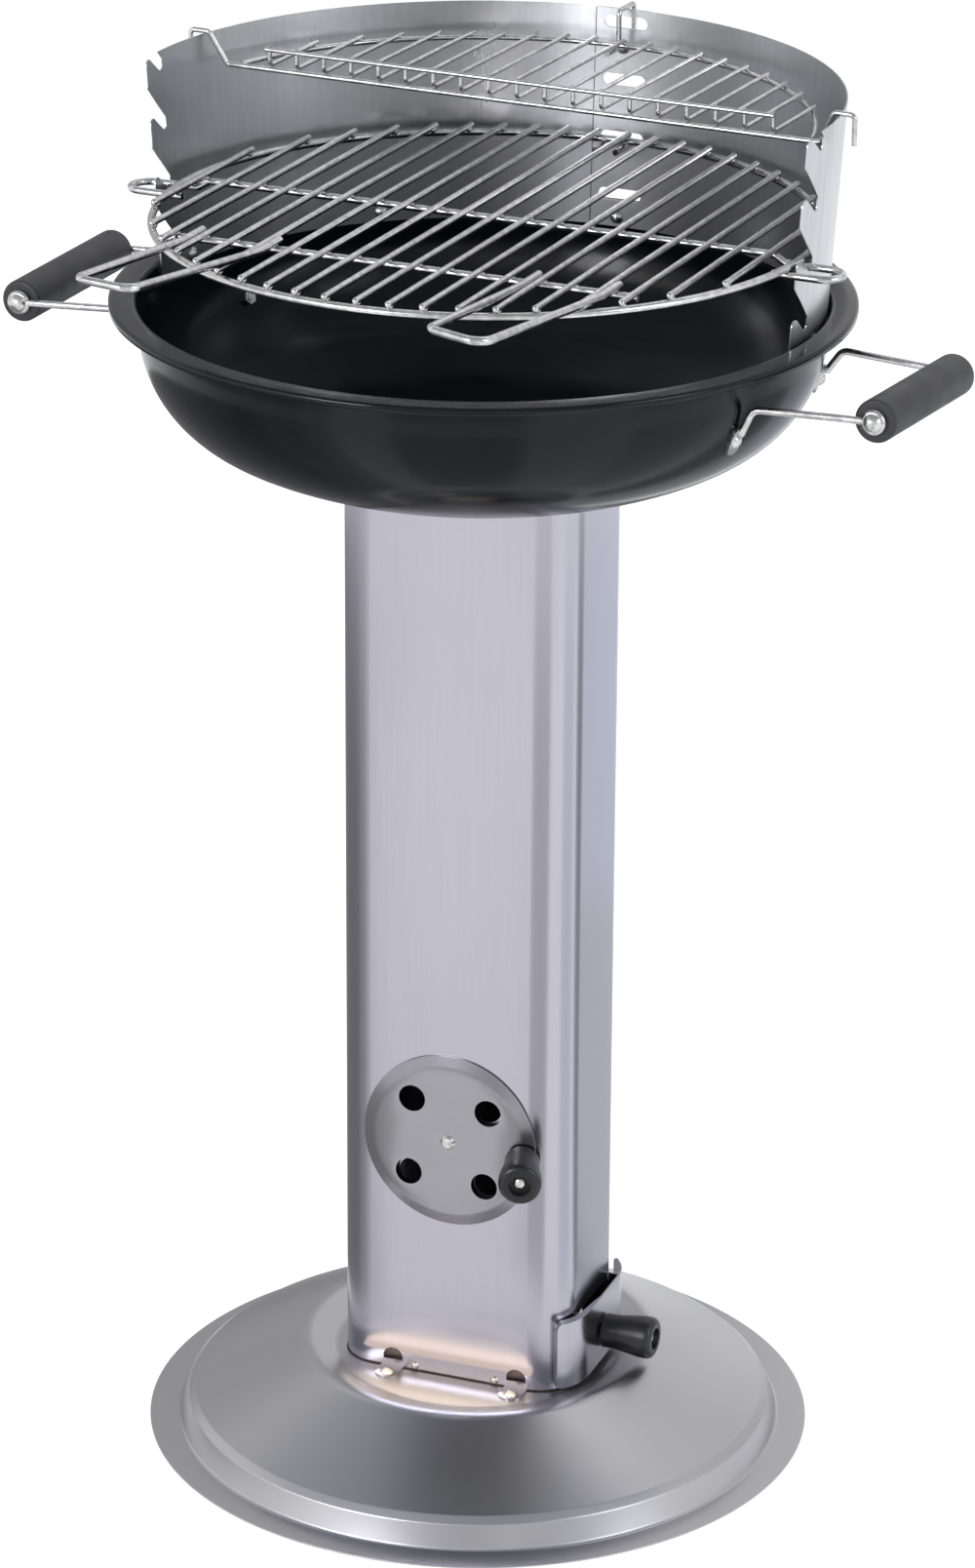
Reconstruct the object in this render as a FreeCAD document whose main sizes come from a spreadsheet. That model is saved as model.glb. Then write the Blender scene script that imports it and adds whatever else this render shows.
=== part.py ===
# Column barbecue grill: pressed foot plate, folded flue column, enamelled fire bowl,
# half-round wind shield, notched cooking grate and a warming rack that hangs on the shield.
# Millimetres and degrees, +Z up, front towards -Y. Each piece is drawn round the column's axis
# and then moved back, so that the origin lies below the middle of the whole outline.
import FreeCAD, Part
import math
import os
import Sketcher
from FreeCAD import Placement, Rotation, Vector

os.makedirs("parts", exist_ok=True)

doc = FreeCAD.newDocument("ColumnGrill")
sheet = doc.addObject("Spreadsheet::Sheet", "Sizes")
sheet.Label = "Sizes"

DRIVING_SIZES = (
    # Frame
    ("frame_advance", 34.0, "column's axis behind the middle of the whole outline"),
    # Foot plate
    ("base_radius", 212.0, "outer edge of the foot plate"),
    ("base_flange_width", 19.0, "flat flange at the outer edge"),
    ("base_skirt_inset", 25.0, "top of the skirt from the outer edge"),
    ("base_skirt_height", 16.5, "top of the skirt"),
    ("base_crease_inset", 29.5, "crease between skirt and cone from the outer edge"),
    ("base_crease_height", 20.5, "crease between skirt and cone"),
    ("base_crest_radius", 112.0, "crest round the dished middle"),
    ("base_crest_height", 54.5, "crest round the dished middle"),
    ("base_dish_radius", 91.0, "flat floor of the dish"),
    ("base_dish_height", 47.4, "top of the dish floor, where the column stands"),
    ("base_sheet", 1.2, "sheet of the foot plate"),
    # Column
    ("column_width", 155.0, "column along X"),
    ("column_depth", 105.0, "column along Y"),
    ("column_corner", 25.0, "outer radius of the column's corners"),
    ("column_wall", 1.0, "sheet of the column"),
    ("column_height", 602.6, "column from dish floor to bowl"),
    ("column_turn", 3.0, "turn of the column and foot plate against the bowl"),
    ("foot_tab_left", -38.0, "X of the left foot tabs"),
    ("foot_tab_right", 46.0, "X of the right foot tabs"),
    ("foot_tab_width", 15.0, "width of a foot tab"),
    ("foot_tab_length", 17.0, "reach of a foot tab from the wall"),
    ("foot_tab_screw", 10.0, "screw of a foot tab from the wall"),
    ("foot_tab_tip", 5.0, "rounded end of a foot tab"),
    ("foot_tab_opening", 13.0, "width of the arched hole above a foot tab"),
    ("foot_tab_opening_rise", 13.3, "top of the arched hole above the dish floor"),
    ("foot_tab_opening_sill", 4.8, "foot of the arched hole above the dish floor"),
    ("top_tab_place", 30.0, "X of the tabs under the bowl"),
    ("top_tab_width", 16.0, "width of a tab under the bowl"),
    ("top_tab_length", 16.0, "inward reach of a tab under the bowl"),
    # Ash door
    ("ash_opening_width", 64.0, "ash opening along Y"),
    ("ash_opening_sill", 5.1, "lower edge of the ash opening above the dish floor"),
    ("ash_opening_height", 41.5, "height of the ash opening"),
    ("ash_door_sheet", 1.0, "sheet of the ash door"),
    ("ash_door_gap", 7.4, "space between the door and the column"),
    ("ash_door_wrap", 50.0, "angle of the door's wrap round each corner"),
    ("ash_door_bottom", 4.9, "door's lower edge above the dish floor"),
    ("ash_door_height", 45.2, "height of the door"),
    ("ash_door_corner", 4.0, "rounded corners of the door"),
    ("tongue_clearance", 0.3, "gap between the door's tongues and the column"),
    ("tongue_headroom", 2.4, "gap above the tongues for lifting the door out"),
    ("tongue_depth", 7.0, "reach of the tongues into the column"),
    ("ash_knob_height", 24.5, "knob's axis above the dish floor"),
    # Knobs
    ("knob_length", 35.0, "knob from seat to outer face"),
    ("knob_collar_radius", 4.0, "collar under the knob"),
    ("knob_collar_height", 1.6, "collar under the knob"),
    ("knob_base_radius", 11.0, "knob at its seat"),
    ("knob_end_radius", 13.5, "knob at its outer end"),
    ("knob_recess_radius", 7.0, "recess in the knob's outer face"),
    ("knob_recess_depth", 4.0, "recess in the knob's outer face"),
    ("knob_rounding", 4.0, "rounding of the knob's outer edge"),
    ("knob_screw_radius", 2.5, "stud inside the knob"),
    ("knob_screw_head_radius", 4.4, "head of the knob's screw"),
    ("knob_screw_head_height", 2.4, "head of the knob's screw"),
    # Vent disc
    ("vent_x", 0.8, "vent disc's middle along X"),
    ("vent_height", 166.35, "vent disc's middle above the dish floor"),
    ("vent_disc_radius", 57.5, "outer edge of the vent disc"),
    ("vent_flat_radius", 48.5, "flat middle of the vent disc"),
    ("vent_disc_rise", 4.12, "flat middle's face above the column's face"),
    ("vent_disc_sheet", 0.8, "sheet of the vent disc"),
    ("vent_disc_turn", -2.5, "turn of the vent disc against the column's holes"),
    ("vent_edge_gap", 0.4, "gap between the disc's edge and the column"),
    ("vent_hole_radius", 8.8, "air holes"),
    ("vent_hole_pitch", 35.9, "air holes from the disc's middle"),
    ("vent_rivet_radius", 2.5, "shank of the rivet"),
    ("vent_rivet_head", 4.8, "radius of the rivet's heads and collar"),
    ("vent_rivet_head_height", 2.0, "height of the rivet's heads"),
    ("running_gap", 0.05, "running clearance of the vent disc on its rivet"),
    ("vent_end_play", 0.1, "end play of the disc on the rivet"),
    ("vent_knob_place", 49.8, "knob's seat from the disc's middle"),
    ("vent_knob_turn", -4.7, "knob's seat, angle round the disc"),
    # Fire bowl
    ("bowl_sheet", 1.0, "sheet of the bowl"),
    ("bowl_floor_radius", 92.6, "flat floor of the bowl"),
    ("bowl_floor_arc", 160.0, "outer radius of the bowl's shallow arc"),
    ("bowl_side_arc", 75.0, "outer radius of the bowl's side arc"),
    ("bowl_arc_break", 62.0, "angle where the two arcs meet"),
    ("bowl_wall_rise", 15.8, "straight wall above the side arc"),
    ("bowl_wall_flare", 1.6, "widening of the straight wall"),
    ("bowl_lip_width", 17.495, "outer edge of the lip beyond the wall"),
    ("bowl_lip_drop", 4.5, "turned-down edge of the lip"),
    ("flue_hole_radius", 34.0, "draught hole in the bowl's floor"),
    # Handles
    ("grip_radius", 13.0, "radius of a grip"),
    ("grip_length", 124.0, "length of a grip"),
    ("grip_bore", 3.0, "radius of the bore for the grip's screws"),
    ("grip_rounding", 2.0, "rounding of the grip's ends"),
    ("handle_wire", 2.25, "radius of the handle's wire"),
    ("handle_upset", 0.05, "how much thicker the wire is at its knee and its eye"),
    ("left_handle_reach", 74.495, "left grip's axis beyond the bowl's wall"),
    ("left_handle_height", 77.0, "left grip's axis above the bowl's floor"),
    ("left_bend_inset", 2.505, "bend of the left arms inside the wall's greatest reach"),
    ("left_bend_height", 82.0, "bend of the left arms above the bowl's floor"),
    ("right_near_reach", 66.495, "near end of the right grip beyond the bowl's wall"),
    ("right_near_height", 77.0, "near end of the right grip above the bowl's floor"),
    ("right_near_bend_inset", 6.205, "bend of the right near arm inside the wall's reach"),
    ("right_near_bend_height", 76.0, "bend of the right near arm above the bowl's floor"),
    ("right_near_foot", 68.5, "foot of the right near arm before the column's axis"),
    ("right_far_reach", 70.995, "far end of the right grip beyond the bowl's wall"),
    ("right_far_height", 70.0, "far end of the right grip above the bowl's floor"),
    ("right_far_bend_inset", 0.5, "bend of the right far arm inside the wall's reach"),
    ("right_far_bend_height", 75.0, "bend of the right far arm above the bowl's floor"),
    ("right_far_foot", 63.3, "foot of the right far arm behind the column's axis"),
    ("handle_foot_height", 56.0, "foot's bolt above the bowl's floor"),
    ("handle_foot_length", 19.0, "flattened foot along the wall"),
    ("handle_foot_width", 9.5, "flattened foot across"),
    ("handle_foot_sheet", 2.2, "thickness of the flattened foot"),
    ("handle_eye_radius", 5.35, "eye's centre line round the screw"),
    ("handle_bend_radius", 7.0, "inside bends of the handle's wire"),
    ("grip_screw_head_radius", 5.6, "domed head of a grip screw"),
    ("grip_screw_head_height", 3.6, "domed head of a grip screw"),
    ("grip_screw_length", 24.0, "shank of a grip screw inside the grip"),
    # Fasteners
    ("bolt_radius", 2.5, "shank of the small bolts"),
    ("bolt_head_radius", 4.4, "head of the small bolts"),
    ("bolt_head_height", 2.6, "head of the small bolts"),
    ("nut_flats", 8.0, "nut across its flats"),
    ("nut_height", 3.4, "height of a nut"),
    ("bolt_tail", 1.2, "bolt end beyond its nut"),
    ("hole_clearance", 0.1, "radial clearance of the bolt holes"),
    ("seat_gap", 0.06, "gap under a flat head on a curved wall"),
    ("locating_rivet_radius", 2.6, "heads of the locating rivets"),
    ("locating_rivet_height", 1.8, "heads of the locating rivets"),
    ("locating_rivet_left", -23.0, "X of the left locating rivet"),
    ("locating_rivet_right", 31.4, "X of the right locating rivet"),
    ("locating_rivet_rise", 3.2, "locating rivets above the dish floor"),
    # Wind shield
    ("shield_sheet", 0.8, "sheet of the wind shield"),
    ("shield_foot_inset", 0.705, "shield's lower edge inside the outer face of the bowl's wall"),
    ("shield_flare", 9.0, "widening of the shield to its upper edge"),
    ("shield_foot_height", 89.0, "lower edge above the bowl's floor"),
    ("shield_height", 138.0, "height of the shield"),
    ("shield_lap_gap", 0.1, "gap between the lapped halves"),
    ("shield_lap_angle", 5.0, "lap of each half past the middle of the back"),
    ("notch_count", 4.0, "heights that the cooking grate can take"),
    ("notch_pitch", 36.4, "spacing of the heights"),
    ("notch_lift", 10.5, "back wall of a notch"),
    ("notch_ramp", 38.0, "slope of a notch's lower side"),
    ("notch_roof", 45.0, "slope of a notch's upper side"),
    ("tooth_depth", 22.0, "teeth in front of the notches"),
    ("tooth_rounding", 4.0, "rounded tips of the teeth"),
    ("slot_width", 29.0, "slots at the back"),
    ("slot_height", 7.6, "slots at the back"),
    ("slot_shift", 1.4, "slots' middle to the right of the seam"),
    ("shield_bolt_height", 95.0, "bolts to the bowl above the bowl's floor"),
    ("shield_bolt_spread", 42.25, "angle between bolts to the bowl"),
    ("seam_bolt_height", 203.0, "upper bolt of the lap above the bowl's floor"),
    # Cooking grate
    ("grate_height", 149.65, "ring's centre line above the bowl's floor"),
    ("grate_shift", 2.5, "the loose grate sits this far to the right"),
    ("grate_ring_shift", 2.25, "ring's middle to the right of the grate's middle"),
    ("grate_ring_advance", 6.5, "ring's middle before the main cross wire's line"),
    ("grate_tilt", 0.26, "tilt of the grate, lower at the back"),
    ("grate_ring_inset", 7.1, "centre line of the ring inside the shield's lower edge"),
    ("grate_ring_wire", 2.4, "radius of the ring's wire"),
    ("grate_bar_wire", 2.0, "radius of the bars"),
    ("grate_bar_count", 20.0, "bars of the cooking grate"),
    ("grate_bar_pitch", 19.6, "spacing of the bars"),
    ("grate_cross_wire", 2.25, "radius of the cross wires"),
    ("grate_rest_gap", 0.3, "gap where loose parts rest"),
    ("grate_loop_reach", 24.2, "side loops beyond the shield's lower edge"),
    ("grate_joggle_inset", 15.2, "start of the cross wire's step inside the ring"),
    ("grate_joggle_run", 7.5, "length of the cross wire's step"),
    ("grate_front_wire_place", 118.0, "front cross wire before the grate's middle"),
    ("grate_front_wire_half", 146.0, "half length of the front cross wire"),
    ("grate_hook_half", 7.0, "half spacing of the rear hook's wires"),
    ("grate_hook_reach", 2.0, "rear hook beyond the shield"),
    ("grate_handle_wire", 2.5, "radius of the grate handles"),
    ("grate_handle_inner", 82.9, "inner leg from the grate's middle"),
    ("grate_handle_outer", 133.0, "outer leg from the grate's middle"),
    ("grate_handle_kink", 141.0, "kink of the legs before the grate's middle"),
    ("left_handle_outer_x", 130.5, "outer front corner of the left grate handle"),
    ("left_handle_outer_y", 277.0, "outer front corner of the left grate handle"),
    ("left_handle_inner_x", 93.1, "inner front corner of the left grate handle"),
    ("left_handle_inner_y", 284.0, "inner front corner of the left grate handle"),
    ("right_handle_outer_x", 126.5, "outer front corner of the right grate handle"),
    ("right_handle_outer_y", 293.0, "outer front corner of the right grate handle"),
    ("right_handle_inner_x", 89.1, "inner front corner of the right grate handle"),
    ("right_handle_inner_y", 280.0, "inner front corner of the right grate handle"),
    ("grate_handle_rise", 14.2, "rise of the front end"),
    ("grate_handle_bend", 9.0, "bends at the handle's front end"),
    # Warming rack
    ("rack_drop", 18.5, "frame's centre line below the shield's upper edge"),
    ("rack_turn", -2.0, "turn of the loosely hung rack"),
    ("rack_arc_inset", 19.8, "centre line of the frame's arc inside the shield's upper edge"),
    ("rack_chord", 45.0, "front rod behind the column's axis"),
    ("rack_wire", 1.65, "radius of the frame and hooks"),
    ("rack_bar_wire", 1.4, "radius of the rack's bars"),
    ("rack_bar_count", 19.0, "bars of the rack"),
    ("rack_bar_pitch", 18.6, "spacing of the rack's bars"),
    ("rack_bar_overhang", 2.0, "bars beyond the arc's centre line"),
    ("rack_rail_rise", 13.5, "front rail above the frame"),
    ("rack_rod_inset", 18.3, "bend at the ends of the front rod, inside the upper edge"),
    ("rack_hook_place", 40.0, "side hooks behind the column's axis"),
    ("rack_hook_inset", 4.5, "inner legs of the side hooks inside the upper edge"),
    ("rack_hook_reach", 8.2, "outer legs of the hooks beyond the upper edge"),
    ("rack_rear_inset", 14.2, "inner leg of the rear hook inside the upper edge"),
    ("rack_rear_hook_x", -5.6, "rear hook beside the middle of the back"),
    ("rack_hook_drop", 18.4, "hook's outer leg below its top"),
    ("rack_bend", 3.2, "bends of the rack's wires"),
)


class Size:
    """A length or angle together with the spreadsheet expression that it comes from."""

    def __init__(self, value, text):
        self.value = float(value)
        self.text = text

    def _join(self, other, sign, value):
        other_text = other.text if isinstance(other, Size) else repr(float(other))
        return Size(value, "(" + self.text + " " + sign + " " + other_text + ")")

    def __add__(self, other):
        return self._join(other, "+", self.value + plain(other))

    def __sub__(self, other):
        return self._join(other, "-", self.value - plain(other))

    def __mul__(self, other):
        return self._join(other, "*", self.value * plain(other))

    def __truediv__(self, other):
        return self._join(other, "/", self.value / plain(other))

    def __neg__(self):
        return Size(-self.value, "(0 - " + self.text + ")")

    def __float__(self):
        return self.value


def plain(size):
    return size.value if isinstance(size, Size) else float(size)


def cosine(angle):
    return Size(math.cos(math.radians(angle.value)), "cos(" + angle.text + ")")


def sine(angle):
    return Size(math.sin(math.radians(angle.value)), "sin(" + angle.text + ")")


def root(square):
    return Size(math.sqrt(square.value), "sqrt(" + square.text + ")")


def fill_sheet():
    for row, (alias, value, note) in enumerate(DRIVING_SIZES, start=1):
        sheet.set("A" + str(row), note)
        sheet.set("B" + str(row), str(value))
        sheet.setAlias("B" + str(row), alias)
    doc.recompute()


class Sizes:
    """Reads the spreadsheet: sizes.base_radius is a Size with its value and its expression."""

    def __getattr__(self, alias):
        return Size(float(sheet.get(alias)), "Sizes." + alias)


fill_sheet()
sizes = Sizes()
zero = Size(0, "0")

nodes = []


def turn_about_axis(angle):
    """Placement that turns a piece about the column's axis."""
    return Placement(Vector(0, 0, 0), Rotation(Vector(0, 0, 1), plain(angle)))


standing = turn_about_axis(sizes.column_turn)


def keep(item, name, place=None):
    """Names a finished piece and lists it for export."""
    item.Label = name
    behind_middle = Placement(Vector(0, sizes.frame_advance.value, 0), Rotation())
    item.Placement = behind_middle.multiply(place or Placement())
    nodes.append(item)
    return item


# Sketched solids

def arc_centre(start, end, radius, side):
    """Centre of the arc from start to end that bulges to the right (side 1) or left (-1)."""
    middle = (start + end) * 0.5
    chord = end - start
    across = Vector(-chord.y, chord.x, 0).normalize()
    height = math.sqrt(max(radius ** 2 - (chord.Length / 2) ** 2, 0))
    return middle + across * height * side


def draw_outline(sketch, corners):
    """Closed outline. A corner is (x, y) or (x, y, radius, side), the arc leading to it."""
    count = len(corners)
    spots = [Vector(plain(c[0]), plain(c[1]), 0) for c in corners]
    for index in range(count):
        start = spots[index - 1]
        end = spots[index]
        corner = corners[index]
        if len(corner) == 2:
            sketch.addGeometry(Part.LineSegment(start, end), False)
            continue
        radius = plain(corner[2])
        centre = arc_centre(start, end, radius, corner[3])
        first = math.atan2(start.y - centre.y, start.x - centre.x)
        last = math.atan2(end.y - centre.y, end.x - centre.x)
        if corner[3] < 0:
            first, last = last, first
        circle = Part.Circle(centre, Vector(0, 0, 1), radius)
        sketch.addGeometry(Part.ArcOfCircle(circle, first, last), False)
    for index in range(count):
        following = (index + 1) % count
        ends_backwards = len(corners[index]) > 2 and corners[index][3] < 0
        starts_backwards = len(corners[following]) > 2 and corners[following][3] < 0
        end_point = 1 if ends_backwards else 2
        start_point = 2 if starts_backwards else 1
        sketch.addConstraint(Sketcher.Constraint("Coincident", index, end_point, following, start_point))
        for axis, kind, value in ((-2, "DistanceX", corners[index][0]), (-1, "DistanceY", corners[index][1])):
            if abs(plain(value)) < 1e-9:
                sketch.addConstraint(Sketcher.Constraint("PointOnObject", index, end_point, axis))
                continue
            number = sketch.addConstraint(
                Sketcher.Constraint(kind, -1, 1, index, end_point, plain(value)))
            bind(sketch, number, kind.lower() + str(index), value)
        if len(corners[index]) > 2:
            number = sketch.addConstraint(Sketcher.Constraint("Radius", index, plain(corners[index][2])))
            bind(sketch, number, "radius" + str(index), corners[index][2])


def bind(sketch, number, name, value):
    sketch.renameConstraint(number, name)
    if isinstance(value, Size):
        sketch.setExpression("Constraints." + name, value.text)


def new_body(name):
    body = doc.addObject("PartDesign::Body", name)
    return body


def new_sketch(body, name, plane, offset=None):
    sketch = body.newObject("Sketcher::SketchObject", name)
    origin_plane = [f for f in body.Origin.OriginFeatures if f.Role == plane][0]
    sketch.AttachmentSupport = [(origin_plane, "")]
    sketch.MapMode = "FlatFace"
    if offset is not None:
        sketch.AttachmentOffset = Placement(Vector(0, 0, plain(offset)), Rotation())
        sketch.setExpression("AttachmentOffset.Base.z", offset.text)
    return sketch


def revolve(body, name, corners):
    """Turns an outline of (radius, height) corners about the body's Z axis."""
    sketch = new_sketch(body, name + "_outline", "XZ_Plane")
    draw_outline(sketch, corners)
    feature = body.newObject("PartDesign::Revolution", name)
    feature.Profile = sketch
    feature.ReferenceAxis = (sketch, ["V_Axis"])
    feature.Angle = 360
    doc.recompute()
    return feature


def pad(body, name, outlines, height, start=None, plane="XY_Plane"):
    sketch = new_sketch(body, name + "_outline", plane, start)
    for corners in outlines:
        add_outline(sketch, corners)
    feature = body.newObject("PartDesign::Pad", name)
    feature.Profile = sketch
    feature.Length = plain(height)
    feature.setExpression("Length", height.text)
    doc.recompute()
    return feature


def pocket(body, name, outlines, plane, direction=None, length=None):
    """Cuts outlines through the body, or to a length on the side given by direction."""
    sketch = new_sketch(body, name + "_outline", plane)
    for corners in outlines:
        add_outline(sketch, corners)
    before = body.Tip.Shape.Volume
    feature = body.newObject("PartDesign::Pocket", name)
    feature.Profile = sketch
    if length is None:
        feature.Type = "ThroughAll"
        feature.Midplane = True
    else:
        feature.Length = plain(length)
        feature.setExpression("Length", length.text)
        feature.Reversed = direction < 0
    doc.recompute()
    if feature.Shape.Volume >= before - 1e-6:
        raise RuntimeError(name + " cuts nothing")
    return feature


def add_outline(sketch, corners):
    """Adds a circle (x, y, radius) or a closed outline to a sketch."""
    if isinstance(corners, tuple):
        centre_x, centre_y, radius = corners
        number = sketch.addGeometry(Part.Circle(Vector(plain(centre_x), plain(centre_y), 0),
                                                Vector(0, 0, 1), plain(radius)), False)
        label = "circle" + str(number)
        size = sketch.addConstraint(Sketcher.Constraint("Radius", number, plain(radius)))
        bind(sketch, size, label + "_radius", radius)
        for axis, kind, value in ((-2, "DistanceX", centre_x), (-1, "DistanceY", centre_y)):
            if abs(plain(value)) < 1e-9:
                sketch.addConstraint(Sketcher.Constraint("PointOnObject", number, 3, axis))
                continue
            place = sketch.addConstraint(Sketcher.Constraint(kind, -1, 1, number, 3, plain(value)))
            bind(sketch, place, label + kind[-1].lower(), value)
        return
    first = sketch.GeometryCount
    if first == 0:
        draw_outline(sketch, corners)
        return
    draw_shifted(sketch, corners, first)


def draw_shifted(sketch, corners, first):
    """Draws a further closed outline whose geometry numbers start at first."""
    helper = OutlineShift(sketch, first)
    draw_outline(helper, corners)


class OutlineShift:
    """Passes an outline on to a sketch that already holds geometry."""

    def __init__(self, sketch, first):
        self.sketch = sketch
        self.first = first

    def addGeometry(self, geometry, construction):
        return self.sketch.addGeometry(geometry, construction)

    def addConstraint(self, constraint):
        for slot in ("First", "Second"):
            number = getattr(constraint, slot)
            if number >= 0:
                setattr(constraint, slot, number + self.first)
        return self.sketch.addConstraint(constraint)

    def renameConstraint(self, number, name):
        self.sketch.renameConstraint(number, name + "_from" + str(self.first))

    def setExpression(self, path, text):
        self.sketch.setExpression(path + "_from" + str(self.first), text)


def rectangle(left, bottom, right, top):
    return [(left, bottom), (right, bottom), (right, top), (left, top)]


def rounded_rectangle(half_x, half_y, radius):
    """Counter-clockwise outline with round corners about the origin."""
    flat_x = half_x - radius
    flat_y = half_y - radius
    return [
        (-flat_x, -half_y), (flat_x, -half_y),
        (half_x, -flat_y, radius, 1), (half_x, flat_y),
        (flat_x, half_y, radius, 1), (-flat_x, half_y),
        (-half_x, flat_y, radius, 1), (-half_x, -flat_y),
    ][1:] + [(-flat_x, -half_y, radius, 1)]


# Bent wires, fasteners and other groups of plain solids

def vector(x, y, z):
    return Vector(plain(x), plain(y), plain(z))


def bent_path(spots, bend, closed=False):
    """Straight runs through the spots, joined by tangent arcs of the given bend radius."""
    count = len(spots)
    turns = range(count) if closed else range(1, count - 1)
    bends = [bend] * count if not isinstance(bend, (list, tuple)) else list(bend)
    joints = {}
    for index in turns:
        corner = spots[index]
        before = (spots[index - 1] - corner).normalize()
        after = (spots[(index + 1) % count] - corner).normalize()
        half = before.getAngle(after) / 2
        if bends[index] <= 0 or abs(half - math.pi / 2) < 1e-6:
            continue
        cut = bends[index] / math.tan(half)
        inward = (before + after).normalize()
        middle = corner + inward * (bends[index] / math.sin(half) - bends[index])
        joints[index] = (corner + before * cut, middle, corner + after * cut)
    edges = []
    steps = range(count) if closed else range(count - 1)
    for index in steps:
        following = (index + 1) % count
        start = joints[index][2] if index in joints else spots[index]
        end = joints[following][0] if following in joints else spots[following]
        if (end - start).Length > 1e-6:
            edges.append(Part.LineSegment(start, end).toShape())
        if following in joints:
            edges.append(Part.Arc(*joints[following]).toShape())
    return Part.Wire(edges)


def wire_solid(spots, radius, bend):
    """Round wire bent along the spots."""
    path = bent_path(spots, plain(bend))
    start = path.Edges[0].valueAt(path.Edges[0].FirstParameter)
    heading = path.Edges[0].tangentAt(path.Edges[0].FirstParameter)
    if (start - spots[0]).Length > 1e-6:
        start = path.Edges[0].valueAt(path.Edges[0].LastParameter)
        heading = path.Edges[0].tangentAt(path.Edges[0].LastParameter) * -1
    section = Part.Wire([Part.Circle(start, heading, plain(radius)).toShape()])
    return path.makePipeShell([section], True, False)


def straight_bar(start, end, radius):
    return Part.makeCylinder(plain(radius), (end - start).Length, start, end - start)


def place_along(base, direction):
    """Placement at base whose Z axis points along direction."""
    return Placement(base, Rotation(Vector(0, 0, 1), direction))


def domed_bolt(shank_radius, shank_length, head_radius, head_height):
    """Domed head above the seat at height zero, shank below it."""
    shank = Part.makeCylinder(shank_radius, shank_length, Vector(0, 0, -shank_length))
    dome_radius = (head_radius ** 2 + head_height ** 2) / (2 * head_height)
    ball = Part.makeSphere(dome_radius, Vector(0, 0, head_height - dome_radius))
    slab = Part.makeCylinder(head_radius, head_height)
    return shank.fuse(ball.common(slab)).removeSplitter()


def hex_nut(flats, height, bore):
    """Nut below the seat at height zero."""
    corner = flats / math.sqrt(3)
    turns = [math.radians(60 * step) for step in range(6)]
    spots = [Vector(corner * math.cos(turn), corner * math.sin(turn), -height) for turn in turns]
    outline = Part.makePolygon(spots + [spots[0]])
    block = Part.Face(outline).extrude(Vector(0, 0, height))
    return block.cut(Part.makeCylinder(bore, height + 2, Vector(0, 0, -height - 1)))


def small_bolt(grip):
    """Small domed bolt through a stack of the given thickness and its nut."""
    length = grip + sizes.nut_height.value + sizes.bolt_tail.value
    return domed_bolt(sizes.bolt_radius.value, length, sizes.bolt_head_radius.value,
                      sizes.bolt_head_height.value)


def small_nut():
    return hex_nut(sizes.nut_flats.value, sizes.nut_height.value, sizes.bolt_radius.value)


def upright_at(x, y, z):
    return Placement(Vector(x, y, z), Rotation())


def group(name, solids, place=None):
    """One node of separate solids, or of one solid made from several shapes."""
    item = doc.addObject("Part::Feature", name)
    item.Shape = Part.makeCompound(solids)
    return keep(item, name, place)


def placed(shape, place):
    moved = shape.copy()
    moved.Placement = place.multiply(moved.Placement)
    return moved


# Shared heights
dish_floor = sizes.base_dish_height
bowl_floor = dish_floor + sizes.column_height
half_width = sizes.column_width / 2
half_depth = sizes.column_depth / 2
front_face = -half_depth
arc_difference = sizes.bowl_floor_arc - sizes.bowl_side_arc
bowl_side_centre = sizes.bowl_floor_radius + arc_difference * cosine(sizes.bowl_arc_break)
bowl_side_height = bowl_floor + sizes.bowl_floor_arc - arc_difference * sine(sizes.bowl_arc_break)
bowl_wall_radius = bowl_side_centre + sizes.bowl_side_arc
bowl_mouth_radius = bowl_wall_radius + sizes.bowl_wall_flare
bowl_rim_height = bowl_side_height + sizes.bowl_wall_rise
bowl_lip_radius = bowl_wall_radius + sizes.bowl_lip_width
shield_foot_radius = bowl_wall_radius - sizes.shield_foot_inset
shield_top_radius = shield_foot_radius + sizes.shield_flare
grate_ring_radius = shield_foot_radius - sizes.grate_ring_inset
shield_foot = bowl_floor + sizes.shield_foot_height
shield_top = shield_foot + sizes.shield_height
shield_slope = sizes.shield_flare / sizes.shield_height
ring_height = bowl_floor + sizes.grate_height
low_wire_height = ring_height - sizes.grate_ring_wire - sizes.grate_cross_wire
bar_height = ring_height + sizes.grate_ring_wire + sizes.grate_bar_wire
under_bar_height = bar_height - sizes.grate_bar_wire - sizes.grate_cross_wire
hook_wire_height = ring_height - sizes.grate_ring_wire - sizes.grate_bar_wire


def shield_radius(height):
    """Outer radius of the shield's outer half at a height."""
    return shield_foot_radius + (height - shield_foot) * shield_slope


def bowl_side_point(height, turn):
    """Point on the bowl's outer side arc and the outward normal there."""
    drop = bowl_side_height.value - height
    reach = math.sqrt(sizes.bowl_side_arc.value ** 2 - drop ** 2)
    radius = bowl_side_centre.value + reach
    level = Vector(math.cos(turn), math.sin(turn), 0)
    normal = level * (reach / sizes.bowl_side_arc.value) + Vector(0, 0, -drop / sizes.bowl_side_arc.value)
    return level * radius + Vector(0, 0, height), normal


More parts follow.
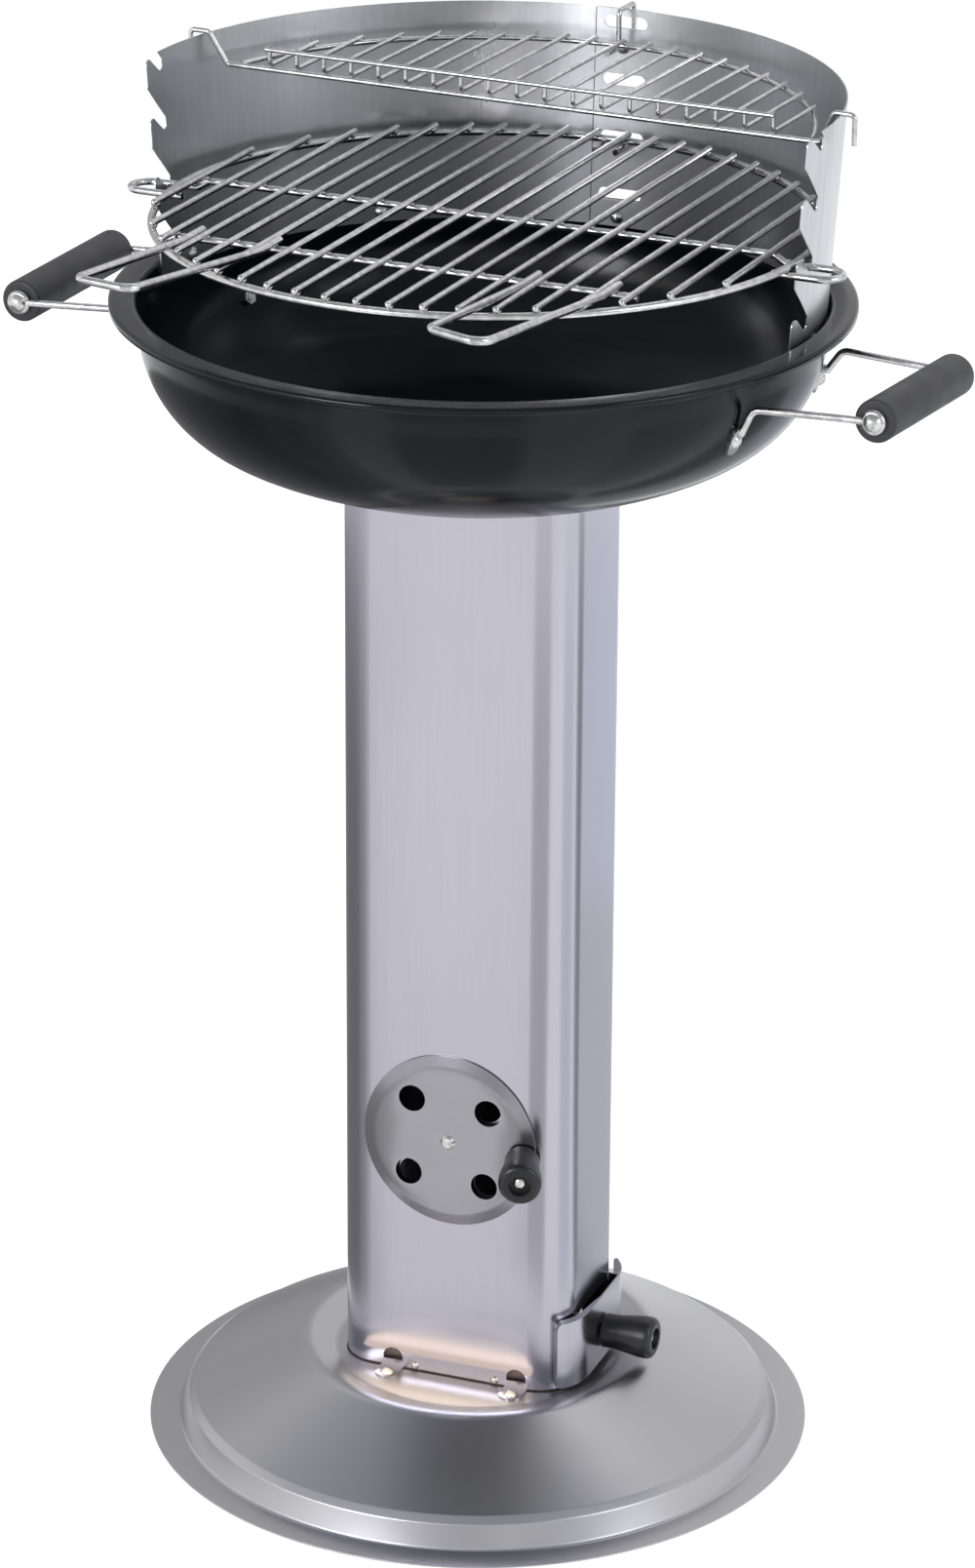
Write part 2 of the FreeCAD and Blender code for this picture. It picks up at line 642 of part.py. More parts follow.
# Foot plate: flat flange, skirt, cone and dished middle, pressed from one sheet
def make_base_plate():
    sheet_wall = sizes.base_sheet
    flange_radius = sizes.base_radius - sizes.base_flange_width
    skirt_radius = sizes.base_radius - sizes.base_skirt_inset
    crease_radius = sizes.base_radius - sizes.base_crease_inset
    body = new_body("base_plate")
    revolve(body, "base_pressing", [
        (zero, dish_floor - sheet_wall),
        (sizes.base_dish_radius, dish_floor - sheet_wall),
        (sizes.base_crest_radius, sizes.base_crest_height - sheet_wall),
        (crease_radius - sheet_wall * 0.5, sizes.base_crease_height - sheet_wall),
        (skirt_radius - sheet_wall, sizes.base_skirt_height - sheet_wall * 0.4),
        (flange_radius - sheet_wall, zero),
        (sizes.base_radius, zero),
        (sizes.base_radius, sheet_wall),
        (flange_radius, sheet_wall),
        (skirt_radius, sizes.base_skirt_height),
        (crease_radius, sizes.base_crease_height),
        (sizes.base_crest_radius, sizes.base_crest_height),
        (sizes.base_dish_radius, dish_floor),
        (zero, dish_floor),
    ])
    screw_y = half_depth + sizes.foot_tab_screw
    pocket(body, "foot_screw_holes",
           [(x, y, sizes.bolt_radius + sizes.hole_clearance)
            for x in (sizes.foot_tab_left, sizes.foot_tab_right) for y in (-screw_y, screw_y)],
           "XY_Plane")
    keep(body, "base_plate", standing)


# Column: folded tube with foot tabs, arched holes, tabs under the bowl, vent and ash openings
def make_column():
    wall = sizes.column_wall
    body = new_body("column_shell")
    pad(body, "tube", [
        rounded_rectangle(half_width, half_depth, sizes.column_corner),
        rounded_rectangle(half_width - wall, half_depth - wall, sizes.column_corner - wall),
    ], sizes.column_height, dish_floor)
    tab_x = (sizes.foot_tab_left, sizes.foot_tab_right)
    half_tab = sizes.foot_tab_width / 2
    inside = half_depth - wall * 0.5
    flat = half_depth + sizes.foot_tab_length - sizes.foot_tab_tip
    tip_radius = (half_tab * half_tab + sizes.foot_tab_tip * sizes.foot_tab_tip) / (sizes.foot_tab_tip * 2)
    pad(body, "foot_tabs",
        [[(x + half_tab, -flat, tip_radius, 1), (x + half_tab, -inside),
          (x - half_tab, -inside), (x - half_tab, -flat)] for x in tab_x]
        + [[(x - half_tab, flat, tip_radius, 1), (x - half_tab, inside),
            (x + half_tab, inside), (x + half_tab, flat)] for x in tab_x],
        wall, dish_floor)
    half_top = sizes.top_tab_width / 2
    top_tip = half_depth - wall - sizes.top_tab_length
    pad(body, "top_tabs",
        [rectangle(x - half_top, -inside, x + half_top, -top_tip)
         for x in (-sizes.top_tab_place, sizes.top_tab_place)]
        + [rectangle(x - half_top, top_tip, x + half_top, inside)
           for x in (-sizes.top_tab_place, sizes.top_tab_place)],
        wall, bowl_floor - wall)
    bolt_hole = sizes.bolt_radius + sizes.hole_clearance
    screw_y = half_depth + sizes.foot_tab_screw
    top_x = (-sizes.top_tab_place, sizes.top_tab_place)
    top_y = half_depth - wall - sizes.top_tab_length / 2
    pocket(body, "tab_holes",
           [(x, y, bolt_hole) for x in tab_x for y in (-screw_y, screw_y)]
           + [(x, y, bolt_hole) for x in top_x for y in (-top_y, top_y)], "XY_Plane")
    arch = sizes.foot_tab_opening / 2
    sill = dish_floor + sizes.foot_tab_opening_sill
    crown = dish_floor + sizes.foot_tab_opening_rise
    spring = crown - arch * 0.75
    arch_radius = (arch * arch + (crown - spring) * (crown - spring)) / ((crown - spring) * 2)
    pocket(body, "arched_holes",
           [[(x - arch, sill), (x + arch, sill), (x + arch, spring), (x - arch, spring, arch_radius, 1)]
            for x in tab_x], "XZ_Plane")
    vent_z = dish_floor + sizes.vent_height
    spread = sizes.vent_hole_pitch * math.sqrt(0.5)
    pocket(body, "vent_holes",
           [(sizes.vent_x + spread * a, vent_z + spread * b, sizes.vent_hole_radius)
            for a in (-1, 1) for b in (-1, 1)]
           + [(sizes.vent_x, vent_z, sizes.vent_rivet_radius)],
           "XZ_Plane", -1, half_depth + 1)
    half_opening = sizes.ash_opening_width / 2
    low = dish_floor + sizes.ash_opening_sill
    pocket(body, "ash_opening",
           [rectangle(-half_opening, low, half_opening, low + sizes.ash_opening_height)],
           "YZ_Plane", -1, half_width + 1)
    keep(body, "column_shell", standing)


def make_foot_fasteners():
    wall = sizes.column_wall.value
    screw_y = (half_depth + sizes.foot_tab_screw).value
    seat = dish_floor.value + wall
    bolt = small_bolt(wall + sizes.base_sheet.value)
    nut = small_nut()
    spots = [(x.value, y) for x in (sizes.foot_tab_left, sizes.foot_tab_right) for y in (-screw_y, screw_y)]
    group("foot_bolts", [placed(bolt, upright_at(x, y, seat)) for x, y in spots], standing)
    under = dish_floor.value - sizes.base_sheet.value
    group("foot_nuts", [placed(nut, upright_at(x, y, under)) for x, y in spots], standing)
    rivet = domed_bolt(sizes.locating_rivet_radius.value * 0.6, 0.4,
                       sizes.locating_rivet_radius.value, sizes.locating_rivet_height.value)
    head_only = rivet.cut(Part.makeCylinder(10, 10, Vector(0, 0, -10)))
    height = dish_floor.value + sizes.locating_rivet_rise.value
    group("locating_rivets",
          [placed(head_only, place_along(vector(x, front_face, height), Vector(0, -1, 0)))
           for x in (sizes.locating_rivet_left, sizes.locating_rivet_right)], standing)


# Knob: turned handle with a recessed outer face, seat at height zero
def make_knob(name, place):
    body = new_body(name)
    end = sizes.knob_length
    rounding = sizes.knob_rounding
    collar = sizes.knob_collar_height
    revolve(body, name + "_turning", [
        (sizes.knob_screw_radius, zero),
        (sizes.knob_collar_radius, zero),
        (sizes.knob_collar_radius, collar),
        (sizes.knob_base_radius, collar),
        (sizes.knob_base_radius, end * 0.25),
        (sizes.knob_end_radius, end - rounding * 2.2),
        (sizes.knob_end_radius, end - rounding),
        (sizes.knob_end_radius - rounding, end, rounding, 1),
        (sizes.knob_recess_radius, end),
        (sizes.knob_recess_radius, end - sizes.knob_recess_depth),
        (sizes.knob_screw_radius, end - sizes.knob_recess_depth),
    ])
    keep(body, name, place)


def make_knob_screw(name, place):
    seat = sizes.knob_length.value - sizes.knob_recess_depth.value
    screw = domed_bolt(sizes.knob_screw_radius.value, seat, sizes.knob_screw_head_radius.value,
                       sizes.knob_screw_head_height.value)
    group(name, [placed(screw, Placement(Vector(0, 0, seat), Rotation()))], place)


# Vent disc: shallow lid riveted to the column's front, turned by its knob
def vent_place():
    facing = Placement(vector(sizes.vent_x, front_face, dish_floor + sizes.vent_height),
                       Rotation(Vector(1, 0, 0), 90))
    return standing.multiply(facing)


def vent_slope():
    drop = sizes.vent_disc_rise.value - sizes.vent_disc_sheet.value - sizes.vent_edge_gap.value
    return math.atan2(drop, sizes.vent_disc_radius.value - sizes.vent_flat_radius.value)


def make_vent_disc():
    face = sizes.vent_disc_rise
    back = face - sizes.vent_disc_sheet
    rise = face - sizes.vent_disc_sheet - sizes.vent_edge_gap
    bore = sizes.vent_rivet_radius + sizes.running_gap
    body = new_body("vent_disc")
    revolve(body, "vent_lid", [
        (bore, back),
        (sizes.vent_flat_radius, back),
        (sizes.vent_disc_radius, back - rise),
        (sizes.vent_disc_radius, face - rise),
        (sizes.vent_flat_radius, face),
        (bore, face),
    ])
    spread = sizes.vent_hole_pitch * math.sqrt(0.5)
    pocket(body, "air_holes",
           [(spread * a, spread * b, sizes.vent_hole_radius) for a in (-1, 1) for b in (-1, 1)], "XY_Plane")
    keep(body, "vent_disc", vent_place().multiply(turn_about_axis(sizes.vent_disc_turn)))
    play = sizes.vent_end_play
    head = sizes.vent_rivet_head
    wall = sizes.column_wall
    body = new_body("vent_rivet")
    revolve(body, "vent_rivet_turning", [
        (zero, -wall - sizes.vent_rivet_head_height),
        (head, -wall - sizes.vent_rivet_head_height),
        (head, -wall),
        (sizes.vent_rivet_radius, -wall),
        (sizes.vent_rivet_radius, zero),
        (head, zero),
        (head, back - play),
        (sizes.vent_rivet_radius, back - play),
        (sizes.vent_rivet_radius, face + play),
        (head, face + play),
        (head * 0.7, face + play + sizes.vent_rivet_head_height * 0.8),
        (zero, face + play + sizes.vent_rivet_head_height),
    ])
    keep(body, "vent_rivet", vent_place())
    slope = vent_slope()
    along = sizes.vent_knob_place.value
    turn = math.radians(sizes.vent_knob_turn.value)
    level = Vector(math.cos(turn), math.sin(turn), 0)
    height = face.value - (along - sizes.vent_flat_radius.value) * math.tan(slope)
    seat = level * along + Vector(0, 0, height)
    normal = level * math.sin(slope) + Vector(0, 0, math.cos(slope))
    place = vent_place().multiply(place_along(seat + normal * sizes.seat_gap.value, normal))
    make_knob("vent_knob", place)
    make_knob_screw("vent_knob_screw", place)


# Ash door: plate that wraps round the column's right side and plugs into the ash opening
def make_ash_door():
    gap = sizes.ash_door_gap
    wrap = sizes.ash_door_wrap
    inner = sizes.column_corner + gap
    outer = inner + sizes.ash_door_sheet
    flat = half_depth - sizes.column_corner
    centre = half_width - sizes.column_corner
    bottom = dish_floor + sizes.ash_door_bottom
    body = new_body("door_pressing")
    pad(body, "door_plate", [[
        (centre + outer * cosine(wrap), -flat - outer * sine(wrap)),
        (centre + outer, -flat, outer, 1),
        (centre + outer, flat),
        (centre + outer * cosine(wrap), flat + outer * sine(wrap), outer, 1),
        (centre + inner * cosine(wrap), flat + inner * sine(wrap)),
        (centre + inner, flat, inner, -1),
        (centre + inner, -flat),
        (centre + inner * cosine(wrap), -flat - inner * sine(wrap), inner, -1),
    ]], sizes.ash_door_height, bottom)
    plate = body.Shape.copy()
    thickness = sizes.ash_door_sheet.value
    ends = [edge for edge in plate.Edges if abs(edge.Length - thickness) < 1e-4]
    plate = plate.makeFillet(sizes.ash_door_corner.value, ends)
    for side in (-1, 1):
        plate = plate.fuse(door_tongue(side))
    door = doc.addObject("Part::Feature", "ash_door_plate")
    door.Shape = plate.removeSplitter()
    keep(door, "ash_door", standing)
    face = half_width + gap + sizes.ash_door_sheet
    seat = Placement(vector(face, 0, dish_floor + sizes.ash_knob_height), Rotation(Vector(0, 1, 0), 90))
    place = standing.multiply(seat)
    make_knob("ash_door_knob", place)
    make_knob_screw("ash_door_knob_screw", place)


def door_tongue(side):
    """Upright tongue behind the door: its shoulder meets the column, its end enters the opening."""
    thickness = sizes.ash_door_sheet.value
    clearance = sizes.tongue_clearance.value
    half_opening = sizes.ash_opening_width.value / 2
    low = (dish_floor + sizes.ash_opening_sill).value + clearance
    high = low + sizes.ash_opening_height.value - clearance - sizes.tongue_headroom.value
    door_top = (dish_floor + sizes.ash_door_bottom + sizes.ash_door_height).value
    shoulder = half_width.value + clearance
    back = half_width.value - sizes.tongue_depth.value
    front = half_width.value + sizes.ash_door_gap.value + thickness * 0.3
    spots = [(back, low), (front, low), (front, door_top - 1), (shoulder, door_top - 1),
             (shoulder, high), (back, high)]
    start = half_opening - clearance - thickness if side > 0 else -half_opening + clearance
    corners = [Vector(x, start, z) for x, z in spots]
    outline = Part.makePolygon(corners + [corners[0]])
    return Part.Face(outline).extrude(Vector(0, thickness, 0))


# Fire bowl: deep-drawn dish with a rolled lip
def bowl_outline():
    wall = sizes.bowl_sheet
    floor_arc = sizes.bowl_floor_arc
    side_arc = sizes.bowl_side_arc
    floor_height = bowl_floor + floor_arc
    break_cos = cosine(sizes.bowl_arc_break)
    break_sin = sine(sizes.bowl_arc_break)
    lip = bowl_lip_radius
    return [
        (sizes.flue_hole_radius, bowl_floor),
        (sizes.bowl_floor_radius, bowl_floor),
        (sizes.bowl_floor_radius + floor_arc * break_cos, floor_height - floor_arc * break_sin, floor_arc, 1),
        (bowl_wall_radius, bowl_side_height, side_arc, 1),
        (bowl_mouth_radius, bowl_rim_height),
        (lip - wall, bowl_rim_height),
        (lip - wall, bowl_rim_height + wall - sizes.bowl_lip_drop),
        (lip, bowl_rim_height + wall - sizes.bowl_lip_drop),
        (lip, bowl_rim_height + wall),
        (bowl_mouth_radius - wall, bowl_rim_height + wall),
        (bowl_wall_radius - wall, bowl_side_height),
        (sizes.bowl_floor_radius + (floor_arc - wall) * break_cos,
         floor_height - (floor_arc - wall) * break_sin, side_arc - wall, -1),
        (sizes.bowl_floor_radius, bowl_floor + wall, floor_arc - wall, -1),
        (sizes.flue_hole_radius, bowl_floor + wall),
    ]


def handle_eyes(side):
    """Middle points of a handle's two eyes, the near one and the far one, and the grip's axis."""
    height = bowl_floor.value
    wall = bowl_wall_radius
    if side < 0:
        near = Vector(-(wall + sizes.left_handle_reach).value, -1, height + sizes.left_handle_height.value)
        far = Vector(near.x, 1, near.z)
    else:
        near = Vector((wall + sizes.right_near_reach).value, -1, height + sizes.right_near_height.value)
        far = Vector((wall + sizes.right_far_reach).value, 1, height + sizes.right_far_height.value)
    half = sizes.grip_length.value / 2 + sizes.handle_wire.value
    middle = Vector((near.x + far.x) / 2, 0, (near.z + far.z) / 2)
    axis = Vector(far.x - near.x, 2 * half, far.z - near.z).normalize()
    return middle - axis * half, middle + axis * half, axis


def handle_foot_offset(side, end):
    """Distance of a handle's foot from the middle plane of the bowl."""
    if side < 0:
        return sizes.grip_length.value / 2 + sizes.handle_wire.value
    return (sizes.right_near_foot if end < 0 else sizes.right_far_foot).value


def handle_feet():
    """Foot centre and outward normal of the four handle feet, by side and end."""
    height = bowl_floor.value + sizes.handle_foot_height.value
    radius = bowl_side_point(height, 0)[0].x
    feet = {}
    for side in (-1, 1):
        for end in (-1, 1):
            turn = math.asin(handle_foot_offset(side, end) / radius)
            spot, normal = bowl_side_point(height, turn)
            feet[(side, end)] = (
                Vector(spot.x * side, spot.y * end, spot.z),
                Vector(normal.x * side, normal.y * end, normal.z))
    return feet


def handle_bend(side, end):
    """Corner of a handle's wire beside the bowl."""
    foot = handle_feet()[(side, end)][0]
    if side < 0:
        place = bowl_wall_radius - sizes.left_bend_inset
        return Vector(-place.value, foot.y, (bowl_floor + sizes.left_bend_height).value)
    if end < 0:
        place = bowl_wall_radius - sizes.right_near_bend_inset
        return Vector(place.value, foot.y, (bowl_floor + sizes.right_near_bend_height).value)
    place = bowl_wall_radius - sizes.right_far_bend_inset
    return Vector(place.value, foot.y, (bowl_floor + sizes.right_far_bend_height).value)


def shield_bolt_turns():
    """Angles of the bolts that hold the shield in the bowl, counted from +X."""
    return [90 + step * sizes.shield_bolt_spread.value for step in (-2, -1, 0, 1, 2)]


def top_bolt_spots():
    y = half_depth.value - sizes.column_wall.value - sizes.top_tab_length.value / 2
    x = sizes.top_tab_place.value
    return [(a * x, b * y) for a in (-1, 1) for b in (-1, 1)]


def make_fire_bowl():
    body = new_body("bowl_pressing")
    revolve(body, "bowl_drawing", bowl_outline())
    hole = sizes.bolt_radius.value + sizes.hole_clearance.value
    depth = 12.0
    drills = [Part.makeCylinder(hole, depth, Vector(x, y, bowl_floor.value - depth / 2))
              for x, y in top_bolt_spots()]
    drills = [placed(drill, standing) for drill in drills]
    drills += [Part.makeCylinder(hole, depth, spot - normal * depth / 2, normal)
               for spot, normal in handle_feet().values()]
    height = bowl_floor.value + sizes.shield_bolt_height.value
    for turn in shield_bolt_turns():
        level = Vector(math.cos(math.radians(turn)), math.sin(math.radians(turn)), 0)
        start = level * (bowl_wall_radius.value - depth / 2) + Vector(0, 0, height)
        drills.append(Part.makeCylinder(hole, depth, start, level))
    tool = doc.addObject("Part::Feature", "bowl_drills")
    tool.Shape = Part.makeCompound(drills)
    bowl = doc.addObject("Part::Cut", "fire_bowl")
    bowl.Base = body
    bowl.Tool = tool
    doc.recompute()
    keep(bowl, "fire_bowl")
    wall = sizes.column_wall.value
    sheet_wall = sizes.bowl_sheet.value
    above = bowl_floor.value + sheet_wall
    below = bowl_floor.value - wall
    bolt = small_bolt(sheet_wall + wall)
    nut = small_nut()
    group("bowl_bolts", [placed(bolt, upright_at(x, y, above)) for x, y in top_bolt_spots()], standing)
    group("bowl_nuts", [placed(nut, upright_at(x, y, below)) for x, y in top_bolt_spots()], standing)


# Bowl handles: two bent wires and a plastic grip on each side
def handle_arm(side, end):
    foot, normal = handle_feet()[(side, end)]
    wire = sizes.handle_wire.value
    near, far, axis = handle_eyes(side)
    eye = near if end < 0 else far
    across = Vector(0, 0, 1).cross(normal).normalize()
    up = normal.cross(across).normalize()
    half_up = up * (sizes.handle_foot_length.value / 2)
    half_across = across * (sizes.handle_foot_width.value / 2)
    corners = [foot - half_up - half_across, foot - half_up + half_across,
               foot + half_up + half_across, foot + half_up - half_across]
    rounding = sizes.handle_foot_width.value / 2 - 0.2
    outline = bent_path(corners, rounding, True)
    foot_plate = Part.Face(outline).extrude(normal * sizes.handle_foot_sheet.value)
    bore = sizes.bolt_radius.value + sizes.hole_clearance.value
    hole = Part.makeCylinder(bore, 20, foot - normal * 10, normal)
    start = foot + up * (half_up.Length - 3) + normal * (wire + 0.1)
    run_in = Vector(start.x + side * 1.0, start.y, start.z)
    bend = handle_bend(side, end)
    inward = bend - eye
    inward = (inward - axis * inward.dot(axis)).normalize()
    arm_end = eye + inward * sizes.handle_eye_radius.value
    level_out = eye + inward * (sizes.handle_eye_radius + sizes.grip_radius).value
    arm = wire_solid([run_in, bend, level_out, arm_end], wire - sizes.handle_upset.value,
                     sizes.handle_bend_radius)
    knee = Part.makeSphere(wire, run_in)
    ring = Part.makeTorus(sizes.handle_eye_radius.value, wire, eye, axis)
    whole = foot_plate.fuse([arm, knee, ring]).cut(hole)
    return whole.removeSplitter()


def make_grip(name, side):
    """Hollow plastic grip between a handle's eyes, with a screw at each end."""
    near, far, axis = handle_eyes(side)
    radius = sizes.grip_radius
    length = sizes.grip_length
    rounding = sizes.grip_rounding
    body = new_body(name)
    revolve(body, name + "_turning", [
        (sizes.grip_bore, zero),
        (radius - rounding, zero),
        (radius, rounding, rounding, 1),
        (radius, length - rounding),
        (radius - rounding, length, rounding, 1),
        (sizes.grip_bore, length),
    ])
    wire = sizes.handle_wire.value
    keep(body, name, place_along(near + axis * wire, axis))
    screw = domed_bolt(sizes.grip_bore.value, sizes.grip_screw_length.value + wire * 2,
                       sizes.grip_screw_head_radius.value, sizes.grip_screw_head_height.value)
    group(name + "_screws", [placed(screw, place_along(near - axis * wire, axis * -1)),
                             placed(screw, place_along(far + axis * wire, axis))])


def make_bowl_handles():
    ends = {-1: "near", 1: "far"}
    sides = {-1: "left", 1: "right"}
    for side, side_name in sides.items():
        for end, end_name in ends.items():
            group(side_name + "_handle_" + end_name + "_arm", [handle_arm(side, end)])
        make_grip(side_name + "_grip", side)
    feet = handle_feet()
    thick = sizes.handle_foot_sheet.value
    wall = sizes.bowl_sheet.value
    bolt = small_bolt(thick + wall + sizes.seat_gap.value)
    nut = small_nut()
    clear_of_wall = wall + sizes.nut_flats.value ** 2 / (4 * sizes.bowl_side_arc.value)
    group("handle_foot_bolts", [placed(bolt, place_along(spot + normal * thick, normal))
                                for spot, normal in feet.values()])
    group("handle_foot_nuts", [placed(nut, place_along(spot - normal * clear_of_wall, normal))
                               for spot, normal in feet.values()])


# Wind shield: two lapped half shells with slots at the back and notched front edges
def notch_floor(step):
    """Lowest point of a notch's back wall: step 0 is the height that the grate stands on."""
    ramp = math.radians(sizes.notch_ramp.value)
    wire = sizes.grate_cross_wire.value + sizes.grate_rest_gap.value
    seat = low_wire_height.value - wire * (math.tan(ramp) + 1 / math.cos(ramp))
    return seat + step * sizes.notch_pitch.value


def slot_floor(step):
    """Lower edge of a slot at the back: step 0 is the height that the grate stands on."""
    tilt = math.radians(sizes.grate_tilt.value)
    dip = shield_radius(hook_wire_height).value * math.sin(tilt)
    seat = hook_wire_height.value - dip - sizes.grate_bar_wire.value - sizes.grate_rest_gap.value
    return seat + step * sizes.notch_pitch.value


def notched_front(side):
    """Space in front of a half's toothed edge, as a solid on one side of the grill."""
    depth = sizes.tooth_depth.value
    ramp = depth * math.tan(math.radians(sizes.notch_ramp.value))
    roof = depth * math.tan(math.radians(sizes.notch_roof.value))
    lift = sizes.notch_lift.value
    root_round = sizes.grate_cross_wire.value + sizes.grate_rest_gap.value
    tip_round = sizes.tooth_rounding.value
    above = shield_top.value + 5
    below = shield_foot.value - 5
    highest = int(sizes.notch_count.value) - 2
    lowest = highest - int(sizes.notch_count.value) + 1
    far = sizes.tooth_depth.value * 3
    corners = [(-far, below), (-depth, below)]
    rounds = [0, 0]
    for step in range(lowest, highest + 1):
        floor = notch_floor(step)
        if step > lowest:
            corners.append((-depth, floor - sizes.notch_pitch.value + lift + roof))
            rounds.append(1.5)
        corners += [(-depth, floor + ramp), (0, floor), (0, floor + lift)]
        rounds += [tip_round, root_round, 1.5]
    corners.append((-(above - floor - lift) / math.tan(math.radians(sizes.notch_roof.value)), above))
    rounds.append(0)
    corners.append((-far, above))
    rounds.append(0)
    # The slanted upper side of each notch runs from its back wall to the next tooth.
    ordered = []
    ordered_rounds = []
    for spot, rounding in zip(corners, rounds):
        ordered.append(Vector(0, spot[0], spot[1]))
        ordered_rounds.append(rounding)
    outline = bent_path(ordered, ordered_rounds, True)
    width = shield_top_radius.value * 0.4
    inside = shield_foot_radius.value * 0.75
    start = inside if side > 0 else -inside - width
    face = Part.Face(outline)
    face.translate(Vector(start, 0, 0))
    return face.extrude(Vector(width, 0, 0))


def half_ring_wedge(side):
    """Block that keeps one half of the shield with its lap past the middle of the back."""
    lap = math.radians(sizes.shield_lap_angle.value)
    reach = shield_top_radius.value * 2
    front = -sizes.tooth_depth.value * 3
    low = shield_foot.value - 10
    high = sizes.shield_height.value + 20
    edge = Vector(-side * math.sin(lap) * reach, math.cos(lap) * reach, 0)
    spots = [Vector(0, 0, 0), edge, Vector(side * reach, reach, 0), Vector(side * reach, front, 0),
             Vector(side * reach / 4, front, 0), Vector(0, 0, 0)]
    wedge = Part.Face(Part.makePolygon(spots)).extrude(Vector(0, 0, high))
    wedge.translate(Vector(0, 0, low))
    return wedge


def make_wind_shield():
    sheet_wall = sizes.shield_sheet
    slots = []
    lowest = 2 - int(sizes.notch_count.value) + 1
    slot_radius = sizes.slot_height.value / 2
    half_slot = sizes.slot_width.value / 2 - slot_radius
    shift = sizes.slot_shift.value
    inside = shield_foot_radius.value * 0.75
    through = shield_foot_radius.value * 0.5
    for step in range(lowest, 3):
        low = slot_floor(step)
        middle = low + slot_radius
        corner = Vector(shift - half_slot, inside, low)
        slots.append(Part.makeBox(2 * half_slot, through, 2 * slot_radius, corner))
        for end in (-1, 1):
            start = Vector(shift + end * half_slot, inside, middle)
            slots.append(Part.makeCylinder(slot_radius, through, start, Vector(0, 1, 0)))
    hole = sizes.bolt_radius.value + sizes.hole_clearance.value
    drills = []
    bolt_height = bowl_floor.value + sizes.shield_bolt_height.value
    for turn in shield_bolt_turns():
        level = Vector(math.cos(math.radians(turn)), math.sin(math.radians(turn)), 0)
        drills.append(Part.makeCylinder(hole, through, level * inside + Vector(0, 0, bolt_height), level))
    seam = Vector(0, inside, bowl_floor.value + sizes.seam_bolt_height.value)
    drills.append(Part.makeCylinder(hole, through, seam, Vector(0, 1, 0)))
    for name, side, inset in (("left_windshield_half", -1, zero),
                              ("right_windshield_half", 1, sheet_wall + sizes.shield_lap_gap)):
        cones = []
        for part_name, offset in (("outer", inset), ("inner", inset + sheet_wall)):
            cone = doc.addObject("Part::Cone", name + "_" + part_name)
            cone.setExpression("Radius1", (shield_foot_radius - offset).text)
            cone.setExpression("Radius2", (shield_top_radius - offset).text)
            cone.setExpression("Height", sizes.shield_height.text)
            cone.setExpression("Placement.Base.z", shield_foot.text)
            cones.append(cone)
        shell = doc.addObject("Part::Cut", name + "_shell")
        shell.Base = cones[0]
        shell.Tool = cones[1]
        keeper = doc.addObject("Part::Feature", name + "_block")
        keeper.Shape = half_ring_wedge(side).cut([notched_front(side)] + slots + drills)
        half = doc.addObject("Part::Common", name)
        half.Base = shell
        half.Tool = keeper
        doc.recompute()
        keep(half, name)


def make_shield_fasteners():
    height = bowl_floor.value + sizes.shield_bolt_height.value
    inner_left = shield_radius(bowl_floor + sizes.shield_bolt_height).value - sizes.shield_sheet.value
    inset = sizes.shield_sheet.value + sizes.shield_lap_gap.value
    flare = sizes.bowl_wall_flare.value / sizes.bowl_wall_rise.value
    outer_wall = bowl_wall_radius.value + (height - bowl_side_height.value) * flare
    gap = sizes.seat_gap.value + sizes.bolt_head_radius.value * shield_slope.value
    bolts = []
    nuts = []
    nut = small_nut()
    out_gap = sizes.nut_flats.value * 0.58 * flare
    seat = outer_wall + out_gap
    centre = Vector(0, 0, height)
    for turn in shield_bolt_turns():
        level = Vector(math.cos(math.radians(turn)), math.sin(math.radians(turn)), 0)
        inner = inner_left - gap - (inset if turn < 90 + sizes.shield_lap_angle.value else 0)
        bolts.append(placed(small_bolt(seat - inner), place_along(level * inner + centre, level * -1)))
        nuts.append(placed(nut, place_along(level * seat + centre, level * -1)))
    group("windshield_bolts", bolts)
    group("windshield_nuts", nuts)
    seam_height = bowl_floor.value + sizes.seam_bolt_height.value
    outer = shield_radius(bowl_floor + sizes.seam_bolt_height).value
    inner = outer - 2 * sizes.shield_sheet.value - sizes.shield_lap_gap.value - gap
    bolt = small_bolt(outer + gap - inner)
    group("seam_bolt", [placed(bolt, place_along(Vector(0, inner, seam_height), Vector(0, -1, 0)))])
    group("seam_nut", [placed(nut, place_along(Vector(0, outer + gap, seam_height), Vector(0, -1, 0)))])


# Cooking grate: chromed ring, bars, cross wires with side loops, rear hook and two handles
def grate_spot(x, y, height):
    return vector(sizes.grate_shift + x, y, height)


def grate_rest():
    """Placement that tips the grate about its main cross wire, lower at the back."""
    wire = sizes.grate_cross_wire.value + sizes.grate_rest_gap.value
    pivot = vector(0, -wire, low_wire_height)
    tip = Rotation(Vector(1, 0, 0), -sizes.grate_tilt.value)
    return Placement(pivot - tip.multVec(pivot), tip)


def bar_places(count, pitch):
    number = int(round(plain(count)))
    return [(index - (number - 1) / 2) * plain(pitch) for index in range(number)]


def bent_wire(name, spots, bends, wire, place):
    """One node from a round wire with its own radius at every bend."""
    path = bent_path(spots, bends)
    section = Part.Wire([Part.Circle(spots[0], spots[1] - spots[0], wire).toShape()])
    group(name, [path.makePipeShell([section], True, False)], place)


